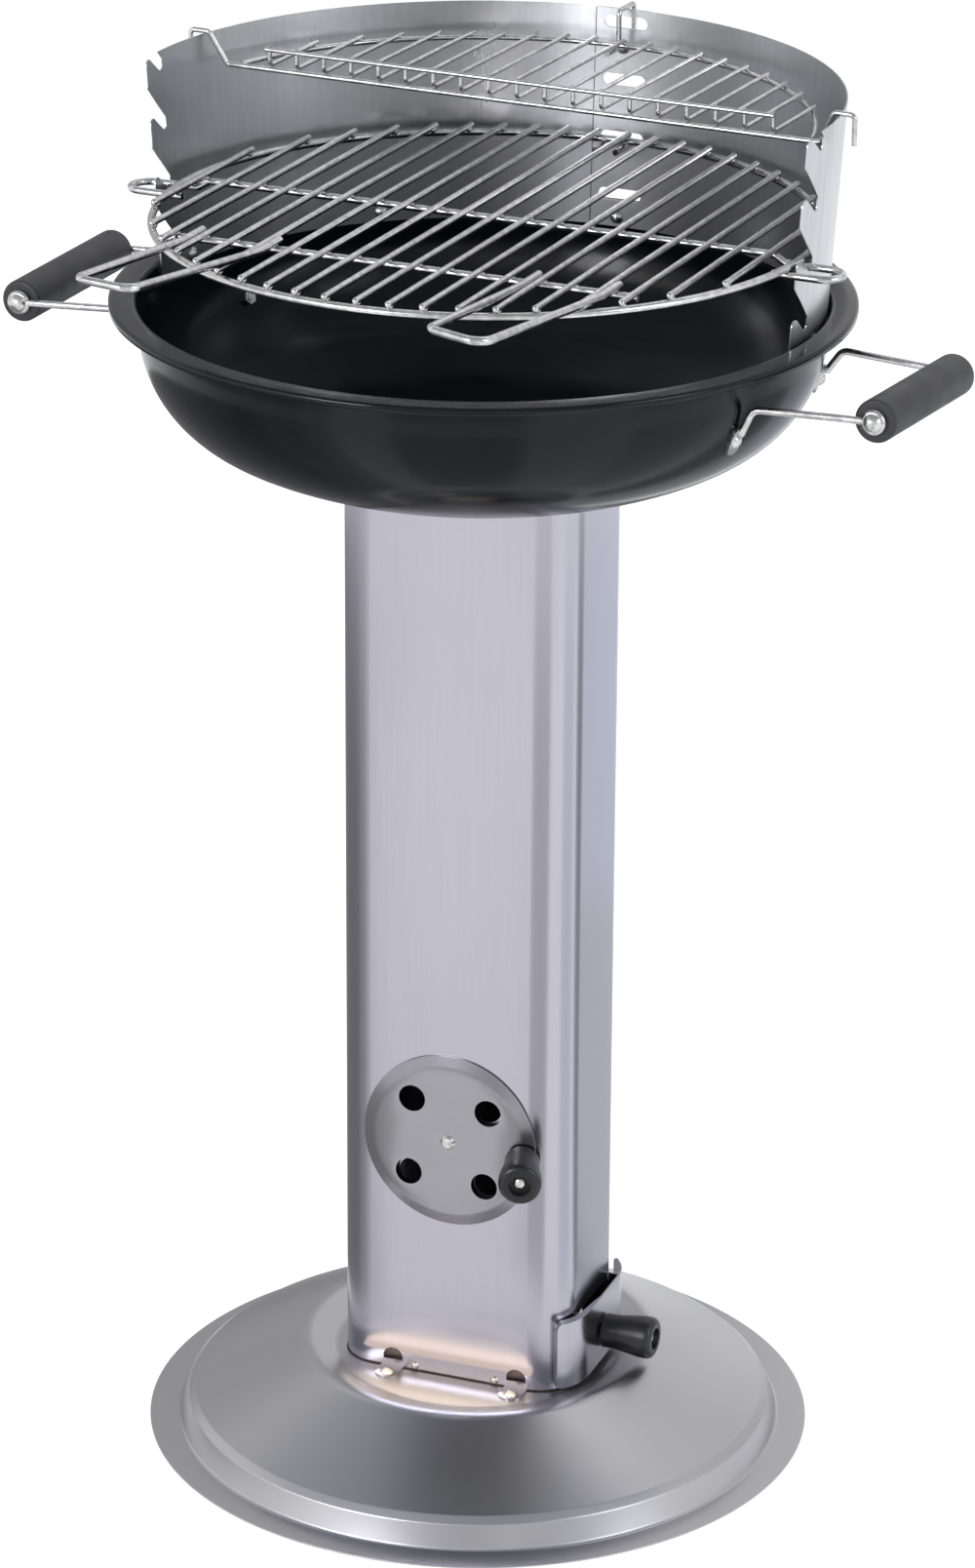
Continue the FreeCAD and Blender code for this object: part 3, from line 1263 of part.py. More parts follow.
def make_cooking_grate():
    rest = grate_rest()
    radius = grate_ring_radius
    ring_x = sizes.grate_shift + sizes.grate_ring_shift
    ring_y = -sizes.grate_ring_advance
    ring = doc.addObject("Part::Torus", "grate_ring")
    ring.setExpression("Radius1", radius.text)
    ring.setExpression("Radius2", sizes.grate_ring_wire.text)
    doc.recompute()
    keep(ring, "grate_ring", rest.multiply(Placement(vector(ring_x, ring_y, ring_height), Rotation())))
    bars = []
    for x in bar_places(sizes.grate_bar_count, sizes.grate_bar_pitch):
        half = math.sqrt(radius.value ** 2 - (x - sizes.grate_ring_shift.value) ** 2)
        bars.append(straight_bar(grate_spot(x, ring_y - half, bar_height),
                                 grate_spot(x, ring_y + half, bar_height), sizes.grate_bar_wire))
    group("grate_bars", bars, rest)
    wire = sizes.grate_cross_wire.value
    gap = sizes.grate_rest_gap.value
    rear = -(wire + gap)
    front = -(sizes.tooth_depth.value + gap + wire + 0.1)
    turn = (rear - front) / 2 - 0.01
    end = (shield_foot_radius + sizes.grate_loop_reach).value
    joggle = (radius - sizes.grate_joggle_inset).value
    run = sizes.grate_joggle_run.value
    tail = radius.value - 8
    half_spots = [(tail, front, low_wire_height), (end, front, low_wire_height), (end, rear, low_wire_height),
                  (joggle + run, rear, low_wire_height), (joggle, rear, under_bar_height)]
    spots = [grate_spot(-x, y, z) for x, y, z in half_spots]
    spots += [grate_spot(x, y, z) for x, y, z in reversed(half_spots)]
    half_bends = [turn, turn, turn, 6.0, 6.0]
    bent_wire("grate_main_cross_wire", spots, half_bends + half_bends[::-1], wire, rest)
    half = sizes.grate_front_wire_half.value
    y = -sizes.grate_front_wire_place.value
    group("grate_front_cross_wire",
          [straight_bar(grate_spot(-half, y, under_bar_height), grate_spot(half, y, under_bar_height),
                        sizes.grate_cross_wire)], rest)
    hook_end = shield_radius(hook_wire_height) + sizes.grate_hook_reach - sizes.grate_bar_wire
    hook = sizes.grate_hook_half.value
    start = radius + ring_y - 14
    hook_spots = [grate_spot(-hook, start, hook_wire_height), grate_spot(-hook, hook_end, hook_wire_height),
                  grate_spot(hook, hook_end, hook_wire_height), grate_spot(hook, start, hook_wire_height)]
    bent_wire("grate_rear_hook", hook_spots, hook - 0.01, sizes.grate_bar_wire.value, rest)
    left = [(-sizes.left_handle_outer_x, -sizes.left_handle_outer_y),
            (-sizes.left_handle_inner_x, -sizes.left_handle_inner_y)]
    right = [(sizes.right_handle_outer_x, -sizes.right_handle_outer_y),
             (sizes.right_handle_inner_x, -sizes.right_handle_inner_y)]
    make_grate_handle("left_grate_handle", -1, left)
    make_grate_handle("right_grate_handle", 1, right)


def make_grate_handle(name, side, corners):
    """U-shaped wire that lies on the front cross wire and rises to the front."""
    wire = sizes.grate_handle_wire.value
    level = (under_bar_height + sizes.grate_cross_wire).value + wire
    start = -(sizes.grate_front_wire_place.value - 4)
    kink = -sizes.grate_handle_kink.value
    top = level + sizes.grate_handle_rise.value
    legs = [side * sizes.grate_handle_outer.value, side * sizes.grate_handle_inner.value]
    first = [(legs[0], start, level), (legs[0], kink, level), corners[0] + (top,)]
    last = [(legs[1], start, level), (legs[1], kink, level), corners[1] + (top,)]
    spots = [grate_spot(*spot) for spot in first + last[::-1]]
    bend = sizes.grate_handle_bend.value
    bent_wire(name, spots, [0, 30.0, bend, bend, 30.0, 0], wire, grate_rest())


# Warming rack: half-round frame that hooks over the shield, with bars bent up at the front
def make_warming_rack():
    turned = turn_about_axis(sizes.rack_turn)
    wire = sizes.rack_wire.value
    bend = sizes.rack_bend.value
    frame = shield_top.value - sizes.rack_drop.value
    chord = sizes.rack_chord.value
    over = shield_top.value + wire + sizes.grate_rest_gap.value
    low = over - sizes.rack_hook_drop.value
    outer = (shield_top_radius + sizes.rack_hook_reach).value
    hook_y = sizes.rack_hook_place.value
    inner_x = math.sqrt((shield_top_radius - sizes.rack_hook_inset).value ** 2 - hook_y ** 2)
    outer_x = math.sqrt(outer ** 2 - hook_y ** 2)
    half_spots = [(outer_x, hook_y, low), (outer_x, hook_y, over), (inner_x, hook_y, over),
                  ((shield_top_radius - sizes.rack_rod_inset).value, chord, frame)]
    spots = [Vector(-x, y, z) for x, y, z in half_spots] + [Vector(x, y, z) for x, y, z in half_spots[::-1]]
    bent_wire("rack_front_rod", spots, bend, wire, turned)
    radius = (shield_top_radius - sizes.rack_arc_inset).value
    clear = chord + 2 * wire + 0.6
    first = math.asin(clear / radius)
    ends = [Vector(radius * math.cos(turn), radius * math.sin(turn), frame)
            for turn in (first, math.pi / 2, math.pi - first)]
    arc = Part.Wire([Part.Arc(*ends).toShape()])
    heading = Vector(-math.sin(first), math.cos(first), 0)
    section = Part.Wire([Part.Circle(ends[0], heading, wire).toShape()])
    group("rack_arc_wire", [arc.makePipeShell([section], True, False)], turned)
    bar = sizes.rack_bar_wire.value
    level = frame + wire + bar
    rail = frame + sizes.rack_rail_rise.value
    bars = []
    places = bar_places(sizes.rack_bar_count, sizes.rack_bar_pitch)
    for x in places:
        back = math.sqrt((radius + sizes.rack_bar_overhang.value) ** 2 - x ** 2)
        bars.append(wire_solid([Vector(x, back, level), Vector(x, chord - bar, level),
                                Vector(x, chord - bar, rail + bar)], bar, 3.0))
    group("rack_bars", bars, turned)
    rail_y = chord - 3 * bar
    rail_ends = [Vector(places[0] - bar, rail_y, rail), Vector(places[-1] + bar, rail_y, rail)]
    group("rack_front_rail", [straight_bar(rail_ends[0], rail_ends[1], bar)], turned)
    under = frame - 2 * wire
    hook_x = sizes.rack_rear_hook_x.value
    inner_y = (shield_top_radius - sizes.rack_rear_inset).value
    outer_y = math.sqrt(outer ** 2 - hook_x ** 2)
    hook = [Vector(hook_x, radius - 12, under), Vector(hook_x, inner_y, under), Vector(hook_x, inner_y, over),
            Vector(hook_x, outer_y, over), Vector(hook_x, outer_y, low)]
    bent_wire("rack_rear_hook", hook, bend, wire, turned)


def check_document():
    """Stops if anything in the document failed or a piece is empty or broken."""
    doc.recompute()
    for item in doc.Objects:
        if "Invalid" in item.State or "Error" in item.State:
            raise RuntimeError(item.Label + " failed: " + str(item.State))
    for item in nodes:
        if item.Shape.isNull() or not item.Shape.isValid():
            raise RuntimeError(item.Label + " has no valid shape")


make_base_plate()
make_column()
make_foot_fasteners()
make_vent_disc()
make_ash_door()
make_fire_bowl()
make_bowl_handles()
make_wind_shield()
make_shield_fasteners()
make_cooking_grate()
make_warming_rack()
check_document()

for item in nodes:
    item.Shape.exportStep("parts/" + item.Label + ".step")
    print(item.Label, "solids", len(item.Shape.Solids), "volume", round(item.Shape.Volume, 1))
print(len(nodes), "nodes")
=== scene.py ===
# Column charcoal grill: finishes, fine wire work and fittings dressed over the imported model.
import math
import bmesh
import bpy
from mathutils import Matrix, Vector


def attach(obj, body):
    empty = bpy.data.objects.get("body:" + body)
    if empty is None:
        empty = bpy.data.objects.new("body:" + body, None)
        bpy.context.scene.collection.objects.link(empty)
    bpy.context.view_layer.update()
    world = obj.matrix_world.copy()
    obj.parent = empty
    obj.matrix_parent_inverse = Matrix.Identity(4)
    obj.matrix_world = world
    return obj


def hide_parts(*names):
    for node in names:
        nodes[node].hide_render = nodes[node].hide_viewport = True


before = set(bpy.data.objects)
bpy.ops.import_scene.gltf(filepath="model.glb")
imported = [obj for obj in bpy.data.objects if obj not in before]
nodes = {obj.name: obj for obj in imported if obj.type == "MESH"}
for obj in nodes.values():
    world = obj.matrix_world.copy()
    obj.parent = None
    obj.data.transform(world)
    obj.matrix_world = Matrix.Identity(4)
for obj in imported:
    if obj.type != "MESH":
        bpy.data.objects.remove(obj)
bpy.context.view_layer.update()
print("frame loaded:", len(nodes), "nodes")


# Small helpers for building node trees
class Tree:
    def __init__(self, tree):
        self.tree = tree

    def node(self, kind, **settings):
        made = self.tree.nodes.new(kind)
        inputs = settings.pop("inputs", {})
        for key, value in settings.items():
            setattr(made, key, value)
        for key, value in inputs.items():
            socket = made.inputs[key]
            if isinstance(value, bpy.types.NodeSocket):
                self.tree.links.new(value, socket)
            else:
                socket.default_value = value
        return made

    def link(self, start, end):
        self.tree.links.new(start, end)


def newMaterial(name):
    material = bpy.data.materials.new(name)
    material.use_nodes = True
    tree = Tree(material.node_tree)
    shader = material.node_tree.nodes["Principled BSDF"]
    return material, tree, shader


def stretched(tree, stretch, turn=(0, 0, 0), place=(0, 0, 0)):
    where = tree.node("ShaderNodeTexCoord")
    mapping = tree.node("ShaderNodeMapping", inputs={
        "Vector": where.outputs["Object"], "Location": place, "Rotation": turn, "Scale": stretch})
    return mapping.outputs["Vector"]


def noise(tree, vector, scale, detail=2.0, roughness=0.5):
    made = tree.node("ShaderNodeTexNoise", inputs={
        "Vector": vector, "Scale": scale, "Detail": detail, "Roughness": roughness})
    return made.outputs["Fac"]


def ranged(tree, value, low, high, toLow, toHigh):
    made = tree.node("ShaderNodeMapRange", inputs={
        "Value": value, "From Min": low, "From Max": high, "To Min": toLow, "To Max": toHigh})
    return made.outputs["Result"]


def bumped(tree, shader, height, strength, distance):
    bump = tree.node("ShaderNodeBump", inputs={
        "Height": height, "Strength": strength, "Distance": distance})
    tree.link(bump.outputs["Normal"], shader.inputs["Normal"])


def tinted(tree, factor, low, high):
    ramp = tree.node("ShaderNodeMix", data_type="RGBA")
    ramp.inputs[6].default_value = (*low, 1)
    ramp.inputs[7].default_value = (*high, 1)
    tree.link(factor, ramp.inputs[0])
    return ramp.outputs[2]


# Shares of fine grain and broad cloud in the sheets' tone, the cloud's spread, the grain's depth in metres
sheetGrain = {"grainShare": 0.6, "cloudShare": 0.4, "cloud": (9, 9, 5), "depth": 0.00002}


# Sheet steel: fine grain along one direction, a little smear in the gloss
# Bands are (place across from -1 to 1, brightness) stops over a width: painted light and dark, set to
# come near the streaks that the wind shield reflects in the photograph
def steelSheet(name, low, high, grain, gloss, strength, bands=None, width=1.0):
    material, tree, shader = newMaterial(name)
    lines = noise(tree, stretched(tree, grain), 1.0, 3.0, 0.6)
    cloud = noise(tree, stretched(tree, sheetGrain["cloud"]), 1.0, 2.0)
    mixed = tree.node("ShaderNodeMath", operation="MULTIPLY_ADD", inputs={
        0: lines, 1: sheetGrain["grainShare"]})
    tree.link(ranged(tree, cloud, 0.3, 0.7, 0.0, sheetGrain["cloudShare"]), mixed.inputs[2])
    tone = tinted(tree, mixed.outputs[0], low, high)
    if bands:
        split = tree.node("ShaderNodeSeparateXYZ", inputs={0: stretched(tree, (1, 1, 1))})
        ramp = tree.node("ShaderNodeValToRGB", inputs={
            "Fac": ranged(tree, split.outputs[0], -width, width, 0.0, 1.0)})
        ramp.color_ramp.interpolation = "EASE"
        stops = ramp.color_ramp.elements
        while len(stops) < len(bands):
            stops.new(0.5)
        for stop, (place, bright) in zip(stops, bands):
            stop.position = (place + 1) / 2
            stop.color = (bright, bright, bright, 1)
        scaled = tree.node("ShaderNodeMix", data_type="RGBA", blend_type="MULTIPLY")
        floats = [socket for socket in scaled.inputs if socket.enabled]
        floats[0].default_value = 1.0
        tree.link(tone, floats[1])
        tree.link(ramp.outputs["Color"], floats[2])
        tone = [socket for socket in scaled.outputs if socket.enabled][0]
    tree.link(tone, shader.inputs["Base Color"])
    tree.link(ranged(tree, mixed.outputs[0], 0.2, 0.8, gloss[1], gloss[0]), shader.inputs["Roughness"])
    shader.inputs["Metallic"].default_value = 1.0
    bumped(tree, shader, lines, strength, sheetGrain["depth"])
    return material


spunGrain = {"rings": 900.0, "ringShare": 0.35, "cloud": 14.0, "cloudShare": (0.15, 0.5),
             "strength": 0.02, "depth": 0.00002}


# The foot plate is spun, so its grain runs round the column's axis
def spunSheet(name, axis, low, high, gloss):
    material, tree, shader = newMaterial(name)
    vector = stretched(tree, (1, 1, 1), place=(-axis[0], -axis[1], 0))
    split = tree.node("ShaderNodeSeparateXYZ", inputs={0: vector})
    flat = tree.node("ShaderNodeCombineXYZ", inputs={
        0: split.outputs[0], 1: split.outputs[1]})
    radius = tree.node("ShaderNodeVectorMath", operation="LENGTH", inputs={0: flat.outputs[0]})
    along = tree.node("ShaderNodeCombineXYZ", inputs={0: radius.outputs["Value"], 1: split.outputs[2]})
    lines = noise(tree, along.outputs[0], spunGrain["rings"], 2.0, 0.6)
    cloud = noise(tree, vector, spunGrain["cloud"], 2.0)
    both = tree.node("ShaderNodeMath", operation="MULTIPLY_ADD", inputs={
        0: lines, 1: spunGrain["ringShare"]})
    tree.link(ranged(tree, cloud, 0.3, 0.7, *spunGrain["cloudShare"]), both.inputs[2])
    tree.link(tinted(tree, both.outputs[0], low, high), shader.inputs["Base Color"])
    tree.link(ranged(tree, both.outputs[0], 0.2, 0.8, gloss[1], gloss[0]), shader.inputs["Roughness"])
    shader.inputs["Metallic"].default_value = 1.0
    bumped(tree, shader, lines, spunGrain["strength"], spunGrain["depth"])
    return material


wireGrit = {"strength": 0.1, "depth": 0.00005}


def wireMetal(name, low, high, gloss, grit):
    material, tree, shader = newMaterial(name)
    spots = noise(tree, stretched(tree, (1, 1, 1)), grit, 2.0)
    tree.link(tinted(tree, ranged(tree, spots, 0.35, 0.65, 0, 1), low, high), shader.inputs["Base Color"])
    tree.link(ranged(tree, spots, 0.3, 0.7, gloss[0], gloss[1]), shader.inputs["Roughness"])
    shader.inputs["Metallic"].default_value = 1.0
    bumped(tree, shader, spots, wireGrit["strength"], wireGrit["depth"])
    return material


enamelCoat = {
    "low": (0.0035, 0.004, 0.006), "high": (0.006, 0.0075, 0.011), "gloss": (0.14, 0.22), "mirror": 0.25,
    "dust": 35.0, "peel": 260.0, "strength": 0.05, "depth": 0.0001,
}


def enamel(name):
    coat = enamelCoat
    material, tree, shader = newMaterial(name)
    peel = noise(tree, stretched(tree, (1, 1, 1)), coat["peel"], 2.0)
    dust = noise(tree, stretched(tree, (1, 1, 1)), coat["dust"], 3.0)
    tree.link(tinted(tree, dust, coat["low"], coat["high"]), shader.inputs["Base Color"])
    tree.link(ranged(tree, dust, 0.3, 0.7, *coat["gloss"]), shader.inputs["Roughness"])
    shader.inputs["Specular IOR Level"].default_value = coat["mirror"]
    bumped(tree, shader, peel, coat["strength"], coat["depth"])
    return material


mouldedSkin = {"rubbed": 60.0, "depth": 0.0002}


def mouldedPlastic(name, low, high, gloss, grain, strength):
    material, tree, shader = newMaterial(name)
    fine = noise(tree, stretched(tree, (1, 1, 1)), grain, 2.0)
    rubbed = noise(tree, stretched(tree, (1, 1, 1)), mouldedSkin["rubbed"], 3.0)
    tree.link(tinted(tree, rubbed, low, high), shader.inputs["Base Color"])
    tree.link(ranged(tree, rubbed, 0.3, 0.7, gloss[0], gloss[1]), shader.inputs["Roughness"])
    bumped(tree, shader, fine, strength, mouldedSkin["depth"])
    return material


columnAxis = (0.0, 0.034)
# Painted reflections on the wind shield: light and dark brightness stops painted into its colour, across the
# sheet
paintedShieldReflections = ((-0.95, 0.98), (-0.74, 0.82), (-0.45, 0.47), (-0.30, 0.66), (-0.14, 1.0), (-0.02, 0.80),
               (0.20, 0.60), (0.60, 0.78), (0.95, 0.76))
finishes = {
    "columnSteel": steelSheet("columnSteel", (0.418, 0.408, 0.457), (0.453, 0.443, 0.495), (700, 700, 14),
                              gloss=(0.20, 0.26), strength=0.1),
    "shieldSteel": steelSheet("shieldSteel", (0.62, 0.625, 0.65), (0.93, 0.935, 0.96), (260, 260, 3),
                              gloss=(0.26, 0.36), strength=0.4, bands=paintedShieldReflections, width=0.22),
    "discSteel": steelSheet("discSteel", (0.30, 0.295, 0.315), (0.34, 0.335, 0.36), (60, 60, 60),
                            gloss=(0.22, 0.26), strength=0.02),
    "spunSteel": spunSheet("spunSteel", columnAxis, (0.43, 0.425, 0.445), (0.47, 0.465, 0.485), (0.30, 0.36)),
    "blackEnamel": enamel("blackEnamel"),
    "gripPlastic": mouldedPlastic("gripPlastic", (0.027, 0.027, 0.029), (0.042, 0.042, 0.044),
                                  (0.45, 0.6), 900.0, 0.25),
    "knobPlastic": mouldedPlastic("knobPlastic", (0.008, 0.008, 0.009), (0.014, 0.014, 0.015),
                                  (0.28, 0.40), 500.0, 0.08),
    "chromedWire": wireMetal("chromedWire", (0.52, 0.515, 0.51), (0.68, 0.675, 0.67), (0.14, 0.26), 180.0),
    "handleWire": wireMetal("handleWire", (0.52, 0.51, 0.50), (0.64, 0.63, 0.62), (0.18, 0.28), 220.0),
    # Painted shade: the dark tone of the plates behind the arched holes
    "holeShade": wireMetal("holeShade", (0.16, 0.13, 0.12), (0.24, 0.20, 0.18), (0.40, 0.55), 90.0),
    # Painted shade: the dark tone of the shade lines at the column's foot and along the shield's lap
    "seamShade": wireMetal("seamShade", (0.05, 0.045, 0.043), (0.09, 0.08, 0.075), (0.45, 0.6), 120.0),
    "zincBolts": wireMetal("zincBolts", (0.55, 0.55, 0.52), (0.70, 0.70, 0.68), (0.22, 0.35), 300.0),
}
print("finishes made")

finishOfNode = {
    "base_plate": "spunSteel",
    "column_shell": "columnSteel",
    "ash_door": "columnSteel",
    "left_windshield_half": "shieldSteel",
    "right_windshield_half": "shieldSteel",
    "vent_disc": "discSteel",
    "fire_bowl": "blackEnamel",
    "left_grip": "gripPlastic",
    "right_grip": "gripPlastic",
    "vent_knob": "knobPlastic",
    "ash_door_knob": "knobPlastic",
}
finishOfStart = [
    ("left_handle", "handleWire"), ("right_handle", "handleWire"), ("grate_", "chromedWire"),
    ("left_grate", "chromedWire"), ("right_grate", "chromedWire"), ("rack_", "chromedWire"),
]


def finishFor(name):
    if name in finishOfNode:
        return finishOfNode[name]
    for start, finish in finishOfStart:
        if name.startswith(start):
            return finish
    return "zincBolts"


mergeReach = 0.000002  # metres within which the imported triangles' corners are one


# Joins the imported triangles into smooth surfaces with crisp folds
def smoothingTree():
    tree = bpy.data.node_groups.new("smoothSheet", "GeometryNodeTree")
    tree.is_modifier = True
    tree.interface.new_socket("Geometry", in_out="INPUT", socket_type="NodeSocketGeometry")
    tree.interface.new_socket("Fold angle", in_out="INPUT", socket_type="NodeSocketFloat")
    tree.interface.new_socket("Geometry", in_out="OUTPUT", socket_type="NodeSocketGeometry")
    kit = Tree(tree)
    start = kit.node("NodeGroupInput")
    end = kit.node("NodeGroupOutput")
    merged = kit.node("GeometryNodeMergeByDistance", inputs={
        "Geometry": start.outputs["Geometry"], "Distance": mergeReach})
    faces = kit.node("GeometryNodeSetShadeSmooth", domain="FACE", inputs={
        "Geometry": merged.outputs["Geometry"], "Shade Smooth": True})
    turned = kit.node("GeometryNodeInputMeshEdgeAngle")
    sharp = kit.node("FunctionNodeCompare", data_type="FLOAT", operation="GREATER_THAN")
    kit.link(turned.outputs["Unsigned Angle"], sharp.inputs["A"])
    kit.link(start.outputs["Fold angle"], sharp.inputs["B"])
    folds = kit.node("GeometryNodeSetShadeSmooth", domain="EDGE", inputs={
        "Geometry": faces.outputs["Geometry"], "Selection": sharp.outputs["Result"], "Shade Smooth": False})
    kit.link(folds.outputs["Geometry"], end.inputs["Geometry"])
    return tree


def socketOf(tree, name):
    for item in tree.interface.items_tree:
        if item.item_type == "SOCKET" and item.in_out == "INPUT" and item.name == name:
            return item.identifier
    raise KeyError(name)


foldAngles = {"sheet": 14, "round": 40}  # degrees
sheetNodes = {"column_shell", "ash_door", "left_windshield_half", "right_windshield_half"}
smoothSheet = smoothingTree()
foldSocket = socketOf(smoothSheet, "Fold angle")
for name, piece in nodes.items():
    material = finishes[finishFor(name)]
    if piece.material_slots:
        for place in piece.material_slots:
            place.material = material
    else:
        piece.data.materials.append(material)
    smoother = piece.modifiers.new("smoothSheet", "NODES")
    smoother.node_group = smoothSheet
    smoother[foldSocket] = math.radians(foldAngles["sheet" if name in sheetNodes else "round"])
print("packed nodes dressed")


# Puts a finished mesh on the body that carries it
def addPiece(name, mesh, body, finish):
    mesh.materials.append(finishes[finish])
    piece = bpy.data.objects.new(name, mesh)
    bpy.context.scene.collection.objects.link(piece)
    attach(piece, body)
    return piece


# Pieces turned on the lathe, with the rounded creases that a press leaves
# Corners are (radius, height, rounding) of a closed outline
def roundedOutline(corners, steps=5):
    spots = []
    count = len(corners)
    for index, (radius, height, rounding) in enumerate(corners):
        here = Vector((radius, height))
        if rounding <= 0:
            spots.append(here)
            continue
        before = (Vector(corners[index - 1][:2]) - here).normalized()
        after = (Vector(corners[(index + 1) % count][:2]) - here).normalized()
        half = before.angle(after) / 2
        reach = rounding / math.tan(half)
        start, end = here + before * reach, here + after * reach
        middle = here + (before + after).normalized() * (rounding / math.sin(half))
        sweep = math.pi - 2 * half
        first = start - middle
        turn = 1 if first.cross(end - middle) > 0 else -1
        for step in range(steps + 1):
            angle = turn * sweep * step / steps
            spots.append(middle + Vector((first.x * math.cos(angle) - first.y * math.sin(angle),
                                          first.x * math.sin(angle) + first.y * math.cos(angle))))
    return spots


def turnedMesh(name, outline, axis, turns):
    shape = bmesh.new()
    rings = []
    for step in range(turns):
        angle = 2 * math.pi * step / turns
        rings.append([shape.verts.new((axis[0] + spot.x * math.cos(angle),
                                       axis[1] + spot.x * math.sin(angle), spot.y)) for spot in outline])
    for step in range(turns):
        here, there = rings[step], rings[(step + 1) % turns]
        for index in range(len(outline)):
            following = (index + 1) % len(outline)
            shape.faces.new((here[index], there[index], there[following], here[following]))
    bmesh.ops.remove_doubles(shape, verts=shape.verts, dist=1e-6)
    bmesh.ops.recalc_face_normals(shape, faces=shape.faces)
    for face in shape.faces:
        face.smooth = True
    mesh = bpy.data.meshes.new(name)
    shape.to_mesh(mesh)
    shape.free()
    return mesh


footPlate = {
    "edge": 0.212, "flange": 0.193, "skirt": 0.187, "skirtTop": 0.0165, "crease": 0.1825,
    "creaseTop": 0.0205, "crest": 0.112, "crestTop": 0.0545, "dish": 0.091, "dishTop": 0.0474,
    "sheet": 0.0012, "dishBend": 0.014, "crestBend": 0.016, "creaseBend": 0.004, "skirtBend": 0.003,
    "edgeBend": 0.0005, "turns": 256,
}


def makeFootPlate():
    size = footPlate
    sheet = size["sheet"]
    top = [
        (0.0, size["dishTop"], 0), (size["dish"], size["dishTop"], size["dishBend"]),
        (size["crest"], size["crestTop"], size["crestBend"]),
        (size["crease"], size["creaseTop"], size["creaseBend"]),
        (size["skirt"], size["skirtTop"], size["skirtBend"]), (size["flange"], sheet, size["skirtBend"]),
        (size["edge"], sheet, size["edgeBend"]), (size["edge"], 0.0, size["edgeBend"]),
    ]
    below = [
        (size["flange"] - sheet, 0.0, size["skirtBend"]),
        (size["skirt"] - sheet, size["skirtTop"] - sheet * 0.4, size["skirtBend"]),
        (size["crease"] - sheet * 0.5, size["creaseTop"] - sheet, size["creaseBend"]),
        (size["crest"], size["crestTop"] - sheet, size["crestBend"] - 0.001),
        (size["dish"], size["dishTop"] - sheet, size["dishBend"] + 0.001), (0.0, size["dishTop"] - sheet, 0),
    ]
    mesh = turnedMesh("footPlate", roundedOutline(top + below), columnAxis, size["turns"])
    piece = addPiece("footPlate", mesh, "stand", "spunSteel")
    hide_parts("base_plate")


bowlSize = {
    "floor": 0.65, "floorRadius": 0.0926, "hole": 0.034, "floorArc": 0.160, "sideArc": 0.075,
    "arcBreak": 62.0, "wallRise": 0.0158, "flare": 0.0016, "lip": 0.225, "lipDrop": 0.0045,
    "mouthBend": (0.0035, 0.0045), "lipBend": (0.0015, 0.0022), "sheet": 0.001,
    "floorSteps": 12, "sideSteps": 16, "turns": 288,
}


# Side of the bowl from the floor's edge up to the wall, inset by the sheet for the inner face
def bowlCurve(size, inset):
    floorMiddle = size["floor"] + size["floorArc"]
    broken = math.radians(size["arcBreak"])
    spread = size["floorArc"] - size["sideArc"]
    sideMiddle = (size["floorRadius"] + spread * math.cos(broken), floorMiddle - spread * math.sin(broken))
    spots = []
    for step in range(size["floorSteps"] + 1):
        angle = math.radians(-90) + (math.radians(90) - broken) * step / size["floorSteps"]
        reach = size["floorArc"] - inset
        spots.append((size["floorRadius"] + reach * math.cos(angle),
                      floorMiddle + reach * math.sin(angle), 0))
    for step in range(1, size["sideSteps"] + 1):
        angle = -broken + broken * step / size["sideSteps"]
        reach = size["sideArc"] - inset
        spots.append((sideMiddle[0] + reach * math.cos(angle), sideMiddle[1] + reach * math.sin(angle), 0))
    return spots


def makeBowl():
    size = bowlSize
    sheet = size["sheet"]
    outside = bowlCurve(size, 0.0)
    inside = bowlCurve(size, sheet)
    wall = outside[-1]
    mouth = wall[0] + size["flare"]
    rim = wall[1] + size["wallRise"]
    lip = size["lip"]
    lipFoot = rim + sheet - size["lipDrop"]
    mouthUnder, mouthOver = size["mouthBend"]
    lipUnder, lipOver = size["lipBend"]
    outline = [(size["hole"], size["floor"], 0)] + outside
    outline += [(mouth, rim, mouthUnder), (lip - sheet, rim, lipUnder), (lip - sheet, lipFoot, 0),
                (lip, lipFoot, 0), (lip, rim + sheet, lipOver), (mouth - sheet, rim + sheet, mouthOver)]
    outline += inside[::-1] + [(size["hole"], size["floor"] + sheet, 0)]
    mesh = turnedMesh("fireBowl", roundedOutline(outline), columnAxis, size["turns"])
    piece = addPiece("fireBowl", mesh, "stand", "blackEnamel")
    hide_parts("fire_bowl")


makeFootPlate()
makeBowl()
print("foot plate and bowl turned")


# Small things round the sheet work, all painted shade: a dark line in the gap at the column's foot, dark
# plates behind the arched holes in place of the shade inside the column, and a dark line where one half of
# the wind shield laps the other
columnSize = {
    "halfWidth": 0.0775, "halfDepth": 0.0525, "corner": 0.025, "foot": 0.0474, "turn": 3.0,
    "seam": 0.00045, "seamOut": 0.0002, "holes": (-0.038, 0.046), "holeFoot": 0.0522, "holeTop": 0.0612,
    "plateWide": 0.0165, "plateSpare": 0.003, "plateBow": 0.0016, "plateIn": 0.0022, "plateSheet": 0.0008,
    "plateSteps": 6,
}


# Points round the column, grown outwards, before its three degree turn
def columnOutline(grow, steps=10):
    size = columnSize
    inner = (size["halfWidth"] - size["corner"], size["halfDepth"] - size["corner"])
    radius = size["corner"] + grow
    spots = []
    for quarter, (side, end) in enumerate(((1, 1), (-1, 1), (-1, -1), (1, -1))):
        for step in range(steps + 1):
            angle = math.pi / 2 * (quarter + step / steps)
            spots.append(Vector((side * inner[0] + radius * math.cos(angle),
                                 end * inner[1] + radius * math.sin(angle), 0)))
    return spots


def standing(spot):
    turned = Matrix.Rotation(math.radians(columnSize["turn"]), 3, "Z") @ spot
    return Vector((turned.x + columnAxis[0], turned.y + columnAxis[1], turned.z))


